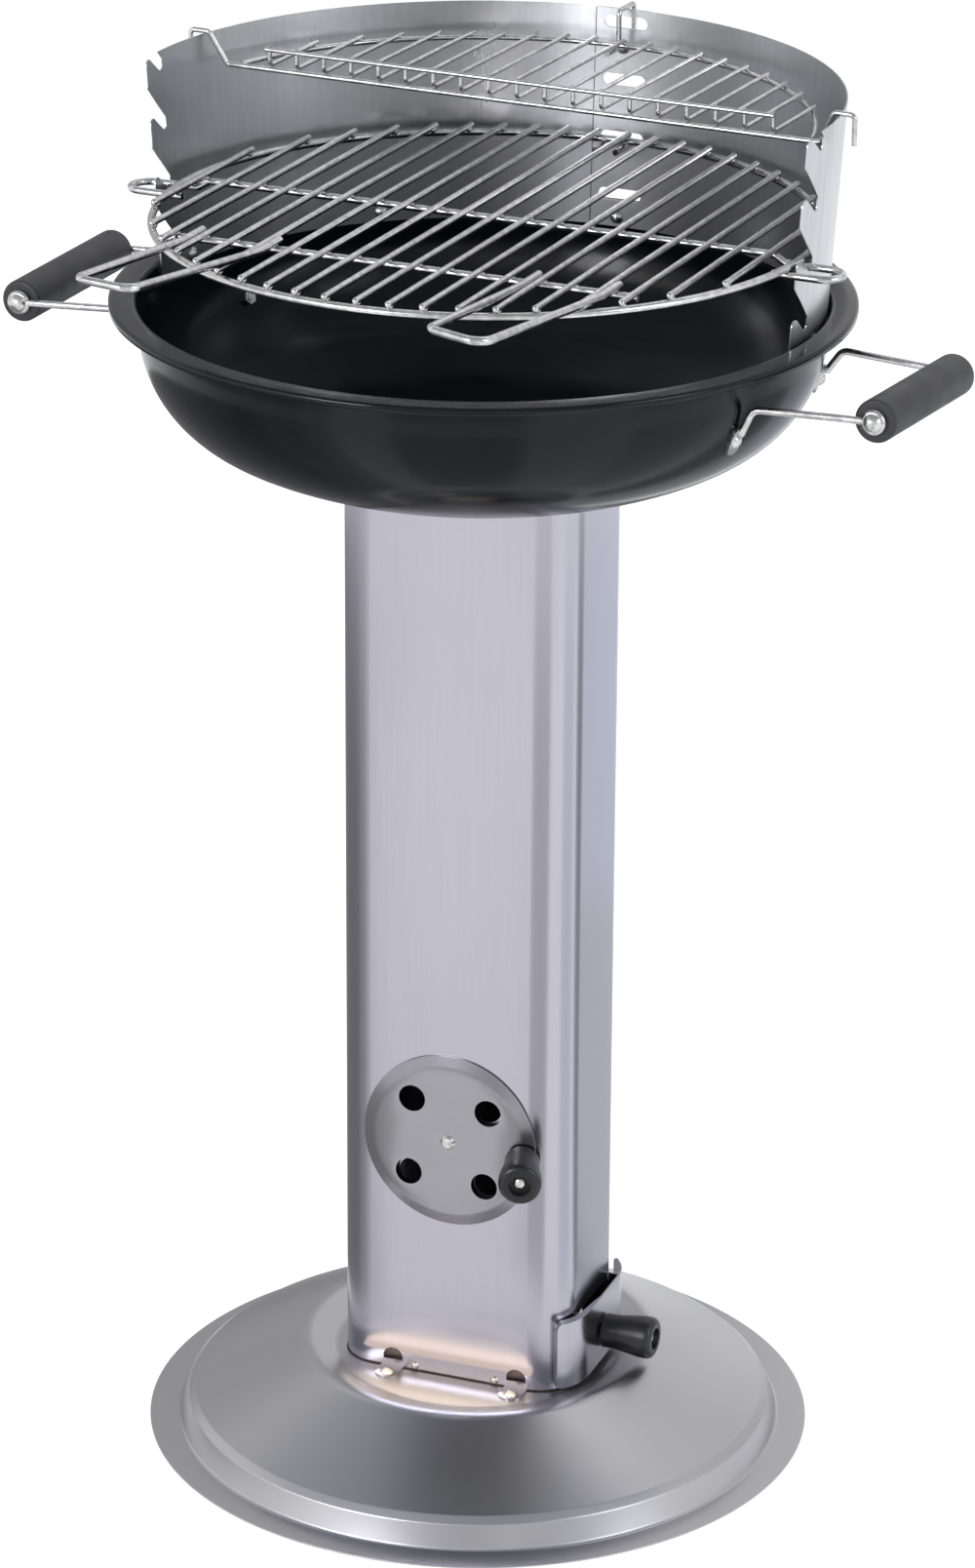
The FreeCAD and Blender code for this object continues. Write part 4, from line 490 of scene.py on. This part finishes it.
def tubeMesh(name, path, radius, sides=8, closed=False):
    shape = bmesh.new()
    rings = []
    count = len(path)
    for index, spot in enumerate(path):
        before = path[index - 1] if closed or index else spot
        after = path[(index + 1) % count] if closed or index < count - 1 else spot
        along = (after - before).normalized()
        lift = Vector((0, 0, 1)) if abs(along.z) < 0.9 else Vector((0, 1, 0))
        across = along.cross(lift).normalized()
        lift = across.cross(along)
        rings.append([shape.verts.new(spot + (across * math.cos(2 * math.pi * side / sides)
                                              + lift * math.sin(2 * math.pi * side / sides)) * radius)
                      for side in range(sides)])
    for index in range(count if closed else count - 1):
        here, there = rings[index], rings[(index + 1) % count]
        for side in range(sides):
            following = (side + 1) % sides
            shape.faces.new((here[side], here[following], there[following], there[side]))
    if not closed:
        shape.faces.new(rings[0][::-1])
        shape.faces.new(rings[-1])
    bmesh.ops.recalc_face_normals(shape, faces=shape.faces)
    for face in shape.faces:
        face.smooth = len(face.verts) == 4
    mesh = bpy.data.meshes.new(name)
    shape.to_mesh(mesh)
    shape.free()
    return mesh


# A dark tube round the column's foot: painted shade, standing in for the shadow in the gap where the column
# meets the dish
def makeFootSeamShade():
    size = columnSize
    lift = Vector((0, 0, size["foot"] + size["seam"]))
    path = [standing(spot + lift) for spot in columnOutline(size["seamOut"])]
    addPiece("footSeamShade", tubeMesh("footSeamShade", path, size["seam"], closed=True), "stand", "seamShade")


# Bowed dark plates inside the column that close the view through the two arched holes: painted shade,
# standing in for the shade inside the column
def makeHolePlates():
    size = columnSize
    shape = bmesh.new()
    steps = size["plateSteps"]
    for middle in size["holes"]:
        rows = []
        for height in (size["holeFoot"] - size["plateSpare"], size["holeTop"] + size["plateSpare"]):
            row = []
            for step in range(steps + 1):
                across = (step / steps - 0.5) * size["plateWide"]
                bow = size["plateBow"] * (1 - (2 * across / size["plateWide"]) ** 2)
                row.append(Vector((middle + across, -size["halfDepth"] + size["plateIn"] + bow, height)))
            rows.append(row)
        corners = [[[shape.verts.new(standing(spot + Vector((0, depth, 0)))) for spot in row]
                    for row in rows] for depth in (0.0, size["plateSheet"])]
        front, back = corners
        for step in range(steps):
            shape.faces.new((front[0][step], front[0][step + 1], front[1][step + 1], front[1][step]))
            shape.faces.new((back[0][step], back[1][step], back[1][step + 1], back[0][step + 1]))
            for ahead, behind in zip(front, back):
                shape.faces.new((ahead[step], ahead[step + 1], behind[step + 1], behind[step]))
        for end in (0, steps):
            shape.faces.new((front[0][end], front[1][end], back[1][end], back[0][end]))
    bmesh.ops.recalc_face_normals(shape, faces=shape.faces)
    mesh = bpy.data.meshes.new("holePlates")
    shape.to_mesh(mesh)
    shape.free()
    addPiece("holePlates", mesh, "stand", "holeShade")


shieldSize = {"low": 0.7392, "high": 0.8768, "lowRadius": 0.2068, "highRadius": 0.2158, "sheet": 0.0008,
              "gap": 0.0001, "lap": 5.0, "shadeLineRadius": 0.00035, "steps": 8}


# A dark tube along the edge where one half of the wind shield laps the other: painted shade, standing in for
# the shadow of the sheet's step
def makeLapEdgeShade():
    size = shieldSize
    angle = math.radians(90 + size["lap"])
    path = []
    for step in range(size["steps"] + 1):
        part = step / size["steps"]
        radius = (size["lowRadius"] + (size["highRadius"] - size["lowRadius"]) * part
                  - 2 * size["sheet"] - size["gap"] + size["shadeLineRadius"] * 0.4)
        height = size["low"] + (size["high"] - size["low"]) * part
        path.append(Vector((columnAxis[0] + radius * math.cos(angle),
                            columnAxis[1] + radius * math.sin(angle), height)))
    addPiece("lapEdgeShade", tubeMesh("lapEdgeShade", path, size["shadeLineRadius"]), "stand", "seamShade")


# The ash door's front edge turns in to the column, and so does the near part of its top edge
lipSize = {
    "centre": (0.0525, -0.0275), "start": -50.0, "run": 0.027, "inner": 0.0254, "outer": 0.0325,
    "low": 0.0523, "high": 0.0966, "sheet": 0.0009, "corner": 0.004, "cornerIn": 0.0012, "dropRun": 0.005,
    "footRise": (0.002, 0.0005), "headDrop": 0.0003, "sunk": 0.0002, "taper": 0.8,
    "stepsRound": 10, "stepsAlong": 8,
}


def makeDoorLip():
    size = lipSize
    shape = bmesh.new()
    centre = Vector((*size["centre"], 0))

    def onWrap(radius, angle, height):
        turn = math.radians(angle)
        return centre + Vector((radius * math.cos(turn), radius * math.sin(turn), height))

    turn = math.radians(size["start"] + columnSize["turn"])
    across = Vector((-math.sin(turn), math.cos(turn), 0)) * size["sheet"]
    innerRise, outerRise = size["footRise"]
    upright = [onWrap(size["inner"], size["start"], size["low"] + innerRise),
               onWrap(size["outer"], size["start"], size["low"] + outerRise),
               onWrap(size["outer"], size["start"], size["high"] - size["corner"]),
               onWrap(size["outer"] - size["cornerIn"], size["start"], size["high"] - size["corner"] * 0.3),
               onWrap(size["inner"], size["start"], size["high"] - size["headDrop"])]
    front = [shape.verts.new(standing(spot)) for spot in upright]
    back = [shape.verts.new(standing(spot) + across) for spot in upright]
    shape.faces.new(front)
    shape.faces.new(back[::-1])
    for index in range(len(upright)):
        following = (index + 1) % len(upright)
        shape.faces.new((front[index], back[index], back[following], front[following]))
    # The top strip runs round the corner and on along the flat side, and narrows to nothing
    turnLength = math.radians(-size["start"]) * size["outer"]
    whole = turnLength + size["run"]
    outer, inner = [], []
    for step in range(size["stepsRound"] + size["stepsAlong"] + 1):
        if step <= size["stepsRound"]:
            angle = size["start"] * (1 - step / size["stepsRound"])
            ahead = 0.0
            gone = turnLength * step / size["stepsRound"]
        else:
            angle = 0.0
            ahead = size["run"] * (step - size["stepsRound"]) / size["stepsAlong"]
            gone = turnLength + ahead
        drop = size["corner"] * max(0.0, 1 - gone / size["dropRun"]) ** 2
        reach = (size["outer"] - size["inner"]) * (1 - gone / whole) ** size["taper"]
        offset = Vector((0, ahead, 0))
        height = size["high"] - drop
        outer.append(standing(onWrap(size["outer"], angle, height) + offset))
        inner.append(standing(onWrap(size["outer"] - reach - size["sunk"], angle, height) + offset))
    down = Vector((0, 0, -size["sheet"]))
    top = [[shape.verts.new(spot) for spot in row] for row in (outer, inner)]
    low = [[shape.verts.new(spot + down) for spot in row] for row in (outer, inner)]
    last = len(outer) - 1
    for step in range(last):
        following = step + 1
        shape.faces.new((top[0][step], top[0][following], top[1][following], top[1][step]))
        shape.faces.new((low[0][step], low[1][step], low[1][following], low[0][following]))
        for upper, under in zip(top, low):
            shape.faces.new((upper[step], under[step], under[following], upper[following]))
    for step in (0, last):
        shape.faces.new((top[0][step], top[1][step], low[1][step], low[0][step]))
    bmesh.ops.recalc_face_normals(shape, faces=shape.faces)
    mesh = bpy.data.meshes.new("doorLip")
    shape.to_mesh(mesh)
    shape.free()
    addPiece("doorLip", mesh, "ash_door", "columnSteel")


makeFootSeamShade()
makeHolePlates()
makeLapEdgeShade()
makeDoorLip()
print("seams and small plates added")


# Weld beads: one small blob on each point of a cloud, a little uneven in size
beadSizes = {
    "ring": (0.0040, 0.0056, 0.0036), "cross": (0.0036, 0.0040, 0.0022), "rack": (0.0030, 0.0034, 0.0022),
    "cap": (0.0043, 0.0040, 0.0043), "drop": 0.0021, "inset": 0.0030, "crossDrop": 0.0023,
    "unevenness": 0.12, "segments": 8, "rings": 6, "seed": 7,
    "rackNear": 0.0009, "rackFar": (0.0015, 0.00147),
    "wireEnd": 0.19, "wireSpare": 0.004, "wireMiddle": 0.003, "barEnd": 0.0012,
}


def beadTree():
    tree = bpy.data.node_groups.new("weldBeads", "GeometryNodeTree")
    tree.is_modifier = True
    face = tree.interface
    face.new_socket("Geometry", in_out="INPUT", socket_type="NodeSocketGeometry")
    face.new_socket("Bead size", in_out="INPUT", socket_type="NodeSocketVector")
    face.new_socket("Unevenness", in_out="INPUT", socket_type="NodeSocketFloat")
    face.new_socket("Finish", in_out="INPUT", socket_type="NodeSocketMaterial")
    face.new_socket("Geometry", in_out="OUTPUT", socket_type="NodeSocketGeometry")
    kit = Tree(tree)
    start = kit.node("NodeGroupInput")
    end = kit.node("NodeGroupOutput")
    ball = kit.node("GeometryNodeMeshUVSphere", inputs={
        "Segments": beadSizes["segments"], "Rings": beadSizes["rings"], "Radius": 0.5})
    uneven = kit.node("FunctionNodeRandomValue", data_type="FLOAT", inputs={"Seed": beadSizes["seed"]})
    span = kit.node("ShaderNodeMath", operation="MULTIPLY_ADD", inputs={
        0: start.outputs["Unevenness"], 1: 2.0, 2: 1.0})
    low = kit.node("ShaderNodeMath", operation="SUBTRACT", inputs={0: 1.0, 1: start.outputs["Unevenness"]})
    high = kit.node("ShaderNodeMath", operation="SUBTRACT", inputs={
        0: span.outputs[0], 1: start.outputs["Unevenness"]})
    floats = [socket for socket in uneven.inputs if socket.enabled]
    kit.link(low.outputs[0], floats[0])
    kit.link(high.outputs[0], floats[1])
    value = [socket for socket in uneven.outputs if socket.enabled][0]
    scaled = kit.node("ShaderNodeVectorMath", operation="SCALE", inputs={
        "Vector": start.outputs["Bead size"], "Scale": value})
    placed = kit.node("GeometryNodeInstanceOnPoints", inputs={
        "Points": start.outputs["Geometry"], "Instance": ball.outputs["Mesh"], "Scale": scaled.outputs[0]})
    real = kit.node("GeometryNodeRealizeInstances", inputs={"Geometry": placed.outputs["Instances"]})
    smooth = kit.node("GeometryNodeSetShadeSmooth", inputs={"Geometry": real.outputs[0]})
    painted = kit.node("GeometryNodeSetMaterial", inputs={
        "Geometry": smooth.outputs[0], "Material": start.outputs["Finish"]})
    kit.link(painted.outputs["Geometry"], end.inputs["Geometry"])
    return tree


beads = beadTree()


def bakedBeads(name, spots, beadSize, finish):
    cloud = bpy.data.meshes.new(name + "Cloud")
    cloud.from_pydata([tuple(spot) for spot in spots], [], [])
    holder = bpy.data.objects.new(name + "Cloud", cloud)
    bpy.context.scene.collection.objects.link(holder)
    modifier = holder.modifiers.new("weldBeads", "NODES")
    modifier.node_group = beads
    modifier[socketOf(beads, "Bead size")] = beadSize
    modifier[socketOf(beads, "Unevenness")] = beadSizes["unevenness"]
    modifier[socketOf(beads, "Finish")] = finishes[finish]
    seen = holder.evaluated_get(bpy.context.evaluated_depsgraph_get())
    mesh = bpy.data.meshes.new_from_object(seen)
    holder.modifiers.remove(modifier)
    bpy.data.objects.remove(holder)
    mesh.materials.clear()
    return mesh


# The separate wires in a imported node, each as its list of points
def looseParts(name):
    shape = bmesh.new()
    shape.from_mesh(nodes[name].data)
    shape.transform(nodes[name].matrix_world)
    bmesh.ops.remove_doubles(shape, verts=shape.verts, dist=mergeReach)
    parts = []
    seen = set()
    for start in shape.verts:
        if start in seen:
            continue
        seen.add(start)
        waiting = [start]
        spots = []
        while waiting:
            vertex = waiting.pop()
            spots.append(vertex.co.copy())
            for edge in vertex.link_edges:
                other = edge.other_vert(vertex)
                if other not in seen:
                    seen.add(other)
                    waiting.append(other)
        parts.append(spots)
    shape.free()
    return parts


def middleOf(spots):
    total = Vector((0, 0, 0))
    for spot in spots:
        total += spot
    return total / len(spots)


def endsOf(spots):
    depth = beadSizes["barEnd"]
    low = min(spot.y for spot in spots)
    high = max(spot.y for spot in spots)
    return (middleOf([spot for spot in spots if spot.y < low + depth]),
            middleOf([spot for spot in spots if spot.y > high - depth]))


def makeGrateWelds():
    size = beadSizes
    ringSpots = []
    capSpots = []
    crossSpots = []
    wires = []
    for wireName in ("grate_main_cross_wire", "grate_front_cross_wire"):
        spots = [spot for part in looseParts(wireName) for spot in part]
        reach = max(abs(spot.x) for spot in spots)
        inmost = min(abs(spot.x) for spot in spots)
        inner = [spot for spot in spots if abs(spot.x) < inmost + size["wireMiddle"]]
        wires.append((middleOf(inner), min(reach, size["wireEnd"])))
    for bar in looseParts("grate_bars"):
        near, far = endsOf(bar)
        along = (far - near).normalized()
        capSpots += [near, far]
        ringSpots.append(near + along * size["inset"] + Vector((0, 0, -size["drop"])))
        ringSpots.append(far - along * size["inset"] + Vector((0, 0, -size["drop"])))
        for middle, reach in wires:
            if near.y < middle.y < far.y and abs(near.x) < reach - size["wireSpare"]:
                spot = near + along * ((middle.y - near.y) / along.y)
                crossSpots.append(spot + Vector((0, 0, -size["crossDrop"])))
    for name, spots, bead in (("ringWelds", ringSpots, "ring"), ("barCaps", capSpots, "cap"),
                              ("crossWelds", crossSpots, "cross")):
        addPiece(name, bakedBeads(name, spots, size[bead], "chromedWire"), "cooking_grate", "chromedWire")


def makeRackWelds():
    size = beadSizes
    spots = []
    for bar in looseParts("rack_bars"):
        near, far = endsOf(bar)
        spots.append(near + Vector((0, size["rackNear"], 0)))
        spots.append(far - Vector((0, *size["rackFar"])))
    addPiece("rackWelds", bakedBeads("rackWelds", spots, size["rack"], "chromedWire"), "warming_rack",
             "chromedWire")


makeGrateWelds()
makeRackWelds()
print("welds added")


# Pin marks in the grips, left by the mould
pinMarks = {"left_grip": [((-0.2822, 0.0888, 0.7400), (0.022, 0.0, 1.0)),
                          ((-0.2864, -0.0026, 0.7392), (-0.326, 0.0, 0.945))],
            "radius": 0.0011, "depth": 0.0006, "taper": 0.9, "sides": 12}


def makePinMarks():
    shape = bmesh.new()
    for place, facing in pinMarks["left_grip"]:
        aim = Vector(facing).to_track_quat("Z", "Y").to_matrix().to_4x4()
        bmesh.ops.create_cone(shape, cap_ends=True, segments=pinMarks["sides"], radius1=pinMarks["radius"],
                              radius2=pinMarks["radius"] * pinMarks["taper"], depth=pinMarks["depth"],
                              matrix=Matrix.Translation(Vector(place)) @ aim)
    mesh = bpy.data.meshes.new("pinMarks")
    shape.to_mesh(mesh)
    shape.free()
    addPiece("pinMarks", mesh, "stand", "knobPlastic")


makePinMarks()


# Floor and world: white to the camera, plain to the light
def whiteToCamera(tree, plain, bright):
    path = tree.node("ShaderNodeLightPath")
    first = tree.node("ShaderNodeMath", operation="MAXIMUM", inputs={
        0: path.outputs["Is Camera Ray"], 1: path.outputs["Is Glossy Ray"]})
    seen = tree.node("ShaderNodeMath", operation="MAXIMUM", inputs={
        0: first.outputs[0], 1: path.outputs["Is Transmission Ray"]})
    mix = tree.node("ShaderNodeMixShader", inputs={0: seen.outputs[0]})
    tree.link(plain, mix.inputs[1])
    tree.link(bright, mix.inputs[2])
    return mix.outputs[0]


floorSizes = {"halfWidth": 12.0, "tone": (0.86, 0.86, 0.86), "lift": 0.57}
worldTones = {"tone": (0.93, 0.95, 1.0), "strength": 0.55}


def makeFloor():
    half = floorSizes["halfWidth"]
    mesh = bpy.data.meshes.new("floor")
    mesh.from_pydata([(-half, -half, 0), (half, -half, 0), (half, half, 0), (-half, half, 0)], [],
                     [(0, 1, 2, 3)])
    floor = bpy.data.objects.new("floor", mesh)
    bpy.context.scene.collection.objects.link(floor)
    material = bpy.data.materials.new("paleFloor")
    material.use_nodes = True
    tree = Tree(material.node_tree)
    material.node_tree.nodes.clear()
    plain = tree.node("ShaderNodeBsdfDiffuse", inputs={"Color": (*floorSizes["tone"], 1)})
    glow = tree.node("ShaderNodeEmission", inputs={"Color": (1, 1, 1, 1), "Strength": floorSizes["lift"]})
    lit = tree.node("ShaderNodeAddShader")
    tree.link(plain.outputs[0], lit.inputs[0])
    tree.link(glow.outputs[0], lit.inputs[1])
    out = tree.node("ShaderNodeOutputMaterial")
    tree.link(whiteToCamera(tree, plain.outputs[0], lit.outputs[0]), out.inputs["Surface"])
    mesh.materials.append(material)


def makeWorld():
    world = bpy.data.worlds.new("studio")
    bpy.context.scene.world = world
    world.use_nodes = True
    tree = Tree(world.node_tree)
    world.node_tree.nodes.clear()
    ambient = tree.node("ShaderNodeBackground", inputs={
        "Color": (*worldTones["tone"], 1), "Strength": worldTones["strength"]})
    white = tree.node("ShaderNodeBackground", inputs={"Color": (1, 1, 1, 1), "Strength": 1.0})
    out = tree.node("ShaderNodeOutputWorld")
    tree.link(whiteToCamera(tree, ambient.outputs[0], white.outputs[0]), out.inputs["Surface"])


stageAim = (0.0, 0.03, 0.5)  # the object's middle, which lamps and cards face
highCard = 2.0  # cards above this height face down to the floor
lamps = {
    "frontLeft": {"place": (-2.2, -2.6, 2.6), "size": (1.8, 1.8), "power": 32, "tone": (1.0, 0.98, 0.96)},
    "right": {"place": (3.0, -0.6, 1.8), "size": (1.2, 2.0), "power": 22, "tone": (0.92, 0.95, 1.0)},
    "above": {"place": (0.0, 0.6, 3.4), "size": (2.4, 2.4), "power": 20, "tone": (1.0, 1.0, 1.0)},
}


# Cards that only gloss sees, as round a real studio set: they give the metal its bands
cards = {
    "ceiling": {"place": (0.0, -0.6, 2.7), "size": (6.0, 4.0), "tone": (0.40, 0.42, 0.46)},
    "ceilingRear": {"place": (0.4, 2.7, 2.75), "size": (5.2, 2.6), "tone": (0.88, 0.88, 0.90)},
    "backLeft": {"place": (-2.2, 2.4, 1.25), "size": (3.2, 2.9), "tone": (0.52, 0.52, 0.525)},
    "backRight": {"place": (1.9, 2.6, 1.25), "size": (2.6, 2.9), "tone": (0.78, 0.78, 0.81)},
    "frontSky": {"place": (0.1, -3.0, 0.95), "size": (3.6, 1.5), "tone": (0.60, 0.60, 0.63)},
    "rightSky": {"place": (2.9, -1.5, 0.95), "size": (2.8, 1.5), "tone": (0.62, 0.63, 0.66)},
    "bowlWindow": {"place": (-0.80, -2.30, 1.42), "size": (0.80, 0.60), "tone": (17.0, 17.0, 17.8)},
}
# Wedges on the floor round the column: turns are counted from the front towards +X
floorCards = {
    "leftWedge": {"turns": (-172, -56), "reach": (0.24, 1.9), "tone": (0.26, 0.26, 0.27)},
    "leftFade": {"turns": (-56, -37), "reach": (0.24, 1.9), "tone": (0.42, 0.42, 0.43)},
    "leftHalo": {"turns": (-37, -26), "reach": (0.24, 1.9), "tone": (0.68, 0.68, 0.69)},
    "frontWedge": {"turns": (-6, 38), "reach": (0.30, 1.7), "tone": (0.72, 0.72, 0.73)},
    "rightWedge": {"turns": (74, 106), "reach": (0.30, 1.7), "tone": (0.92, 0.97, 1.06)},
    "rearWedge": {"turns": (120, 146), "reach": (0.24, 1.9), "tone": (0.38, 0.40, 0.44)},
    "farWedge": {"turns": (148, 178), "reach": (0.9, 1.9), "tone": (0.88, 0.93, 1.03)},
    "nearWedge": {"turns": (148, 178), "reach": (0.24, 0.9), "tone": (0.78, 0.80, 0.84)},
}

wedgeSteps = 12
wedgeHeight = 0.0015
# Strips just above the dish before the column: they give its foot the warm gleam, a patch from above
gleams = {
    "gleamNear": {"span": (0.003, 0.013), "half": (0.060, 0.062), "tone": (1.40, 1.16, 0.95)},
    "gleamMiddle": {"span": (0.013, 0.026), "half": (0.062, 0.050), "tone": (2.20, 1.84, 1.52)},
    "gleamFar": {"span": (0.026, 0.040), "half": (0.050, 0.030), "tone": (1.30, 1.20, 1.10)},
}
gleamSize = {"height": 0.0562, "middle": -0.004, "front": -0.0525, "turn": 3.0}


def addCard(name, mesh, tone):
    holder = bpy.data.objects.new(name, mesh)
    bpy.context.scene.collection.objects.link(holder)
    material = bpy.data.materials.new(name)
    material.use_nodes = True
    material.node_tree.nodes.clear()
    tree = Tree(material.node_tree)
    glow = tree.node("ShaderNodeEmission", inputs={"Color": (*tone, 1), "Strength": 1.0})
    out = tree.node("ShaderNodeOutputMaterial")
    tree.link(glow.outputs[0], out.inputs["Surface"])
    mesh.materials.append(material)
    for ray in ("camera", "diffuse", "shadow", "transmission"):
        setattr(holder, "visible_" + ray, False)


def makeCards():
    for name, card in cards.items():
        wide, tall = card["size"]
        mesh = bpy.data.meshes.new(name)
        mesh.from_pydata([(-wide / 2, -tall / 2, 0), (wide / 2, -tall / 2, 0),
                          (wide / 2, tall / 2, 0), (-wide / 2, tall / 2, 0)], [], [(0, 1, 2, 3)])
        place = Vector(card["place"])
        aim = Vector((*stageAim[:2], 0 if place.z > highCard else place.z)) - place
        mesh.transform(Matrix.Translation(place) @ aim.to_track_quat("-Z", "Y").to_matrix().to_4x4())
        addCard(name, mesh, card["tone"])
    foot = gleamSize
    turn = Matrix.Rotation(math.radians(foot["turn"]), 4, "Z")
    for name, card in gleams.items():
        near, far = (foot["front"] - reach for reach in card["span"])
        wideNear, wideFar = card["half"]
        middle = foot["middle"]
        mesh = bpy.data.meshes.new(name)
        mesh.from_pydata([(middle - wideNear, near, 0), (middle + wideNear, near, 0),
                          (middle + wideFar, far, 0), (middle - wideFar, far, 0)], [], [(0, 1, 2, 3)])
        mesh.transform(Matrix.Translation((*columnAxis, foot["height"])) @ turn)
        addCard(name, mesh, card["tone"])
    for name, card in floorCards.items():
        spots = []
        start, end = card["turns"]
        steps = wedgeSteps
        for reach in card["reach"]:
            for step in range(steps + 1):
                turn = math.radians(start + (end - start) * step / steps)
                spots.append((columnAxis[0] + reach * math.sin(turn),
                              columnAxis[1] - reach * math.cos(turn), wedgeHeight))
        faces = [(step, step + 1, step + steps + 2, step + steps + 1) for step in range(steps)]
        mesh = bpy.data.meshes.new(name)
        mesh.from_pydata(spots, [], faces)
        addCard(name, mesh, card["tone"])


def makeLamps():
    for name, lamp in lamps.items():
        light = bpy.data.lights.new(name, "AREA")
        light.shape = "RECTANGLE"
        light.size, light.size_y = lamp["size"]
        light.energy = lamp["power"]
        light.color = lamp["tone"]
        holder = bpy.data.objects.new(name, light)
        bpy.context.scene.collection.objects.link(holder)
        place = Vector(lamp["place"])
        aim = Vector(stageAim) - place
        holder.matrix_world = Matrix.Translation(place) @ aim.to_track_quat("-Z", "Y").to_matrix().to_4x4()


cameraSizes = {
    "place": (1.3465, -2.9904, 1.7572),
    "tilt": 68.22,
    "turn": 23.93,
    "roll": 0.33,
    "lens": 131.93,
    "sensor": 36.0,
    "clipStart": 0.05,
}


def makeCamera():
    camera = bpy.data.cameras.new("camera")
    camera.sensor_fit = "VERTICAL"
    camera.sensor_height = cameraSizes["sensor"]
    camera.lens = cameraSizes["lens"]
    camera.clip_start = cameraSizes["clipStart"]
    holder = bpy.data.objects.new("camera", camera)
    bpy.context.scene.collection.objects.link(holder)
    holder.matrix_world = (
        Matrix.Translation(Vector(cameraSizes["place"]))
        @ Matrix.Rotation(math.radians(cameraSizes["turn"]), 4, "Z")
        @ Matrix.Rotation(math.radians(cameraSizes["tilt"]), 4, "X")
        @ Matrix.Rotation(math.radians(cameraSizes["roll"]), 4, "Z"))
    bpy.context.scene.camera = holder


makeFloor()
makeWorld()
makeLamps()
makeCards()
makeCamera()
bpy.context.scene.view_settings.view_transform = "Standard"
print("floor, lamps and camera placed")
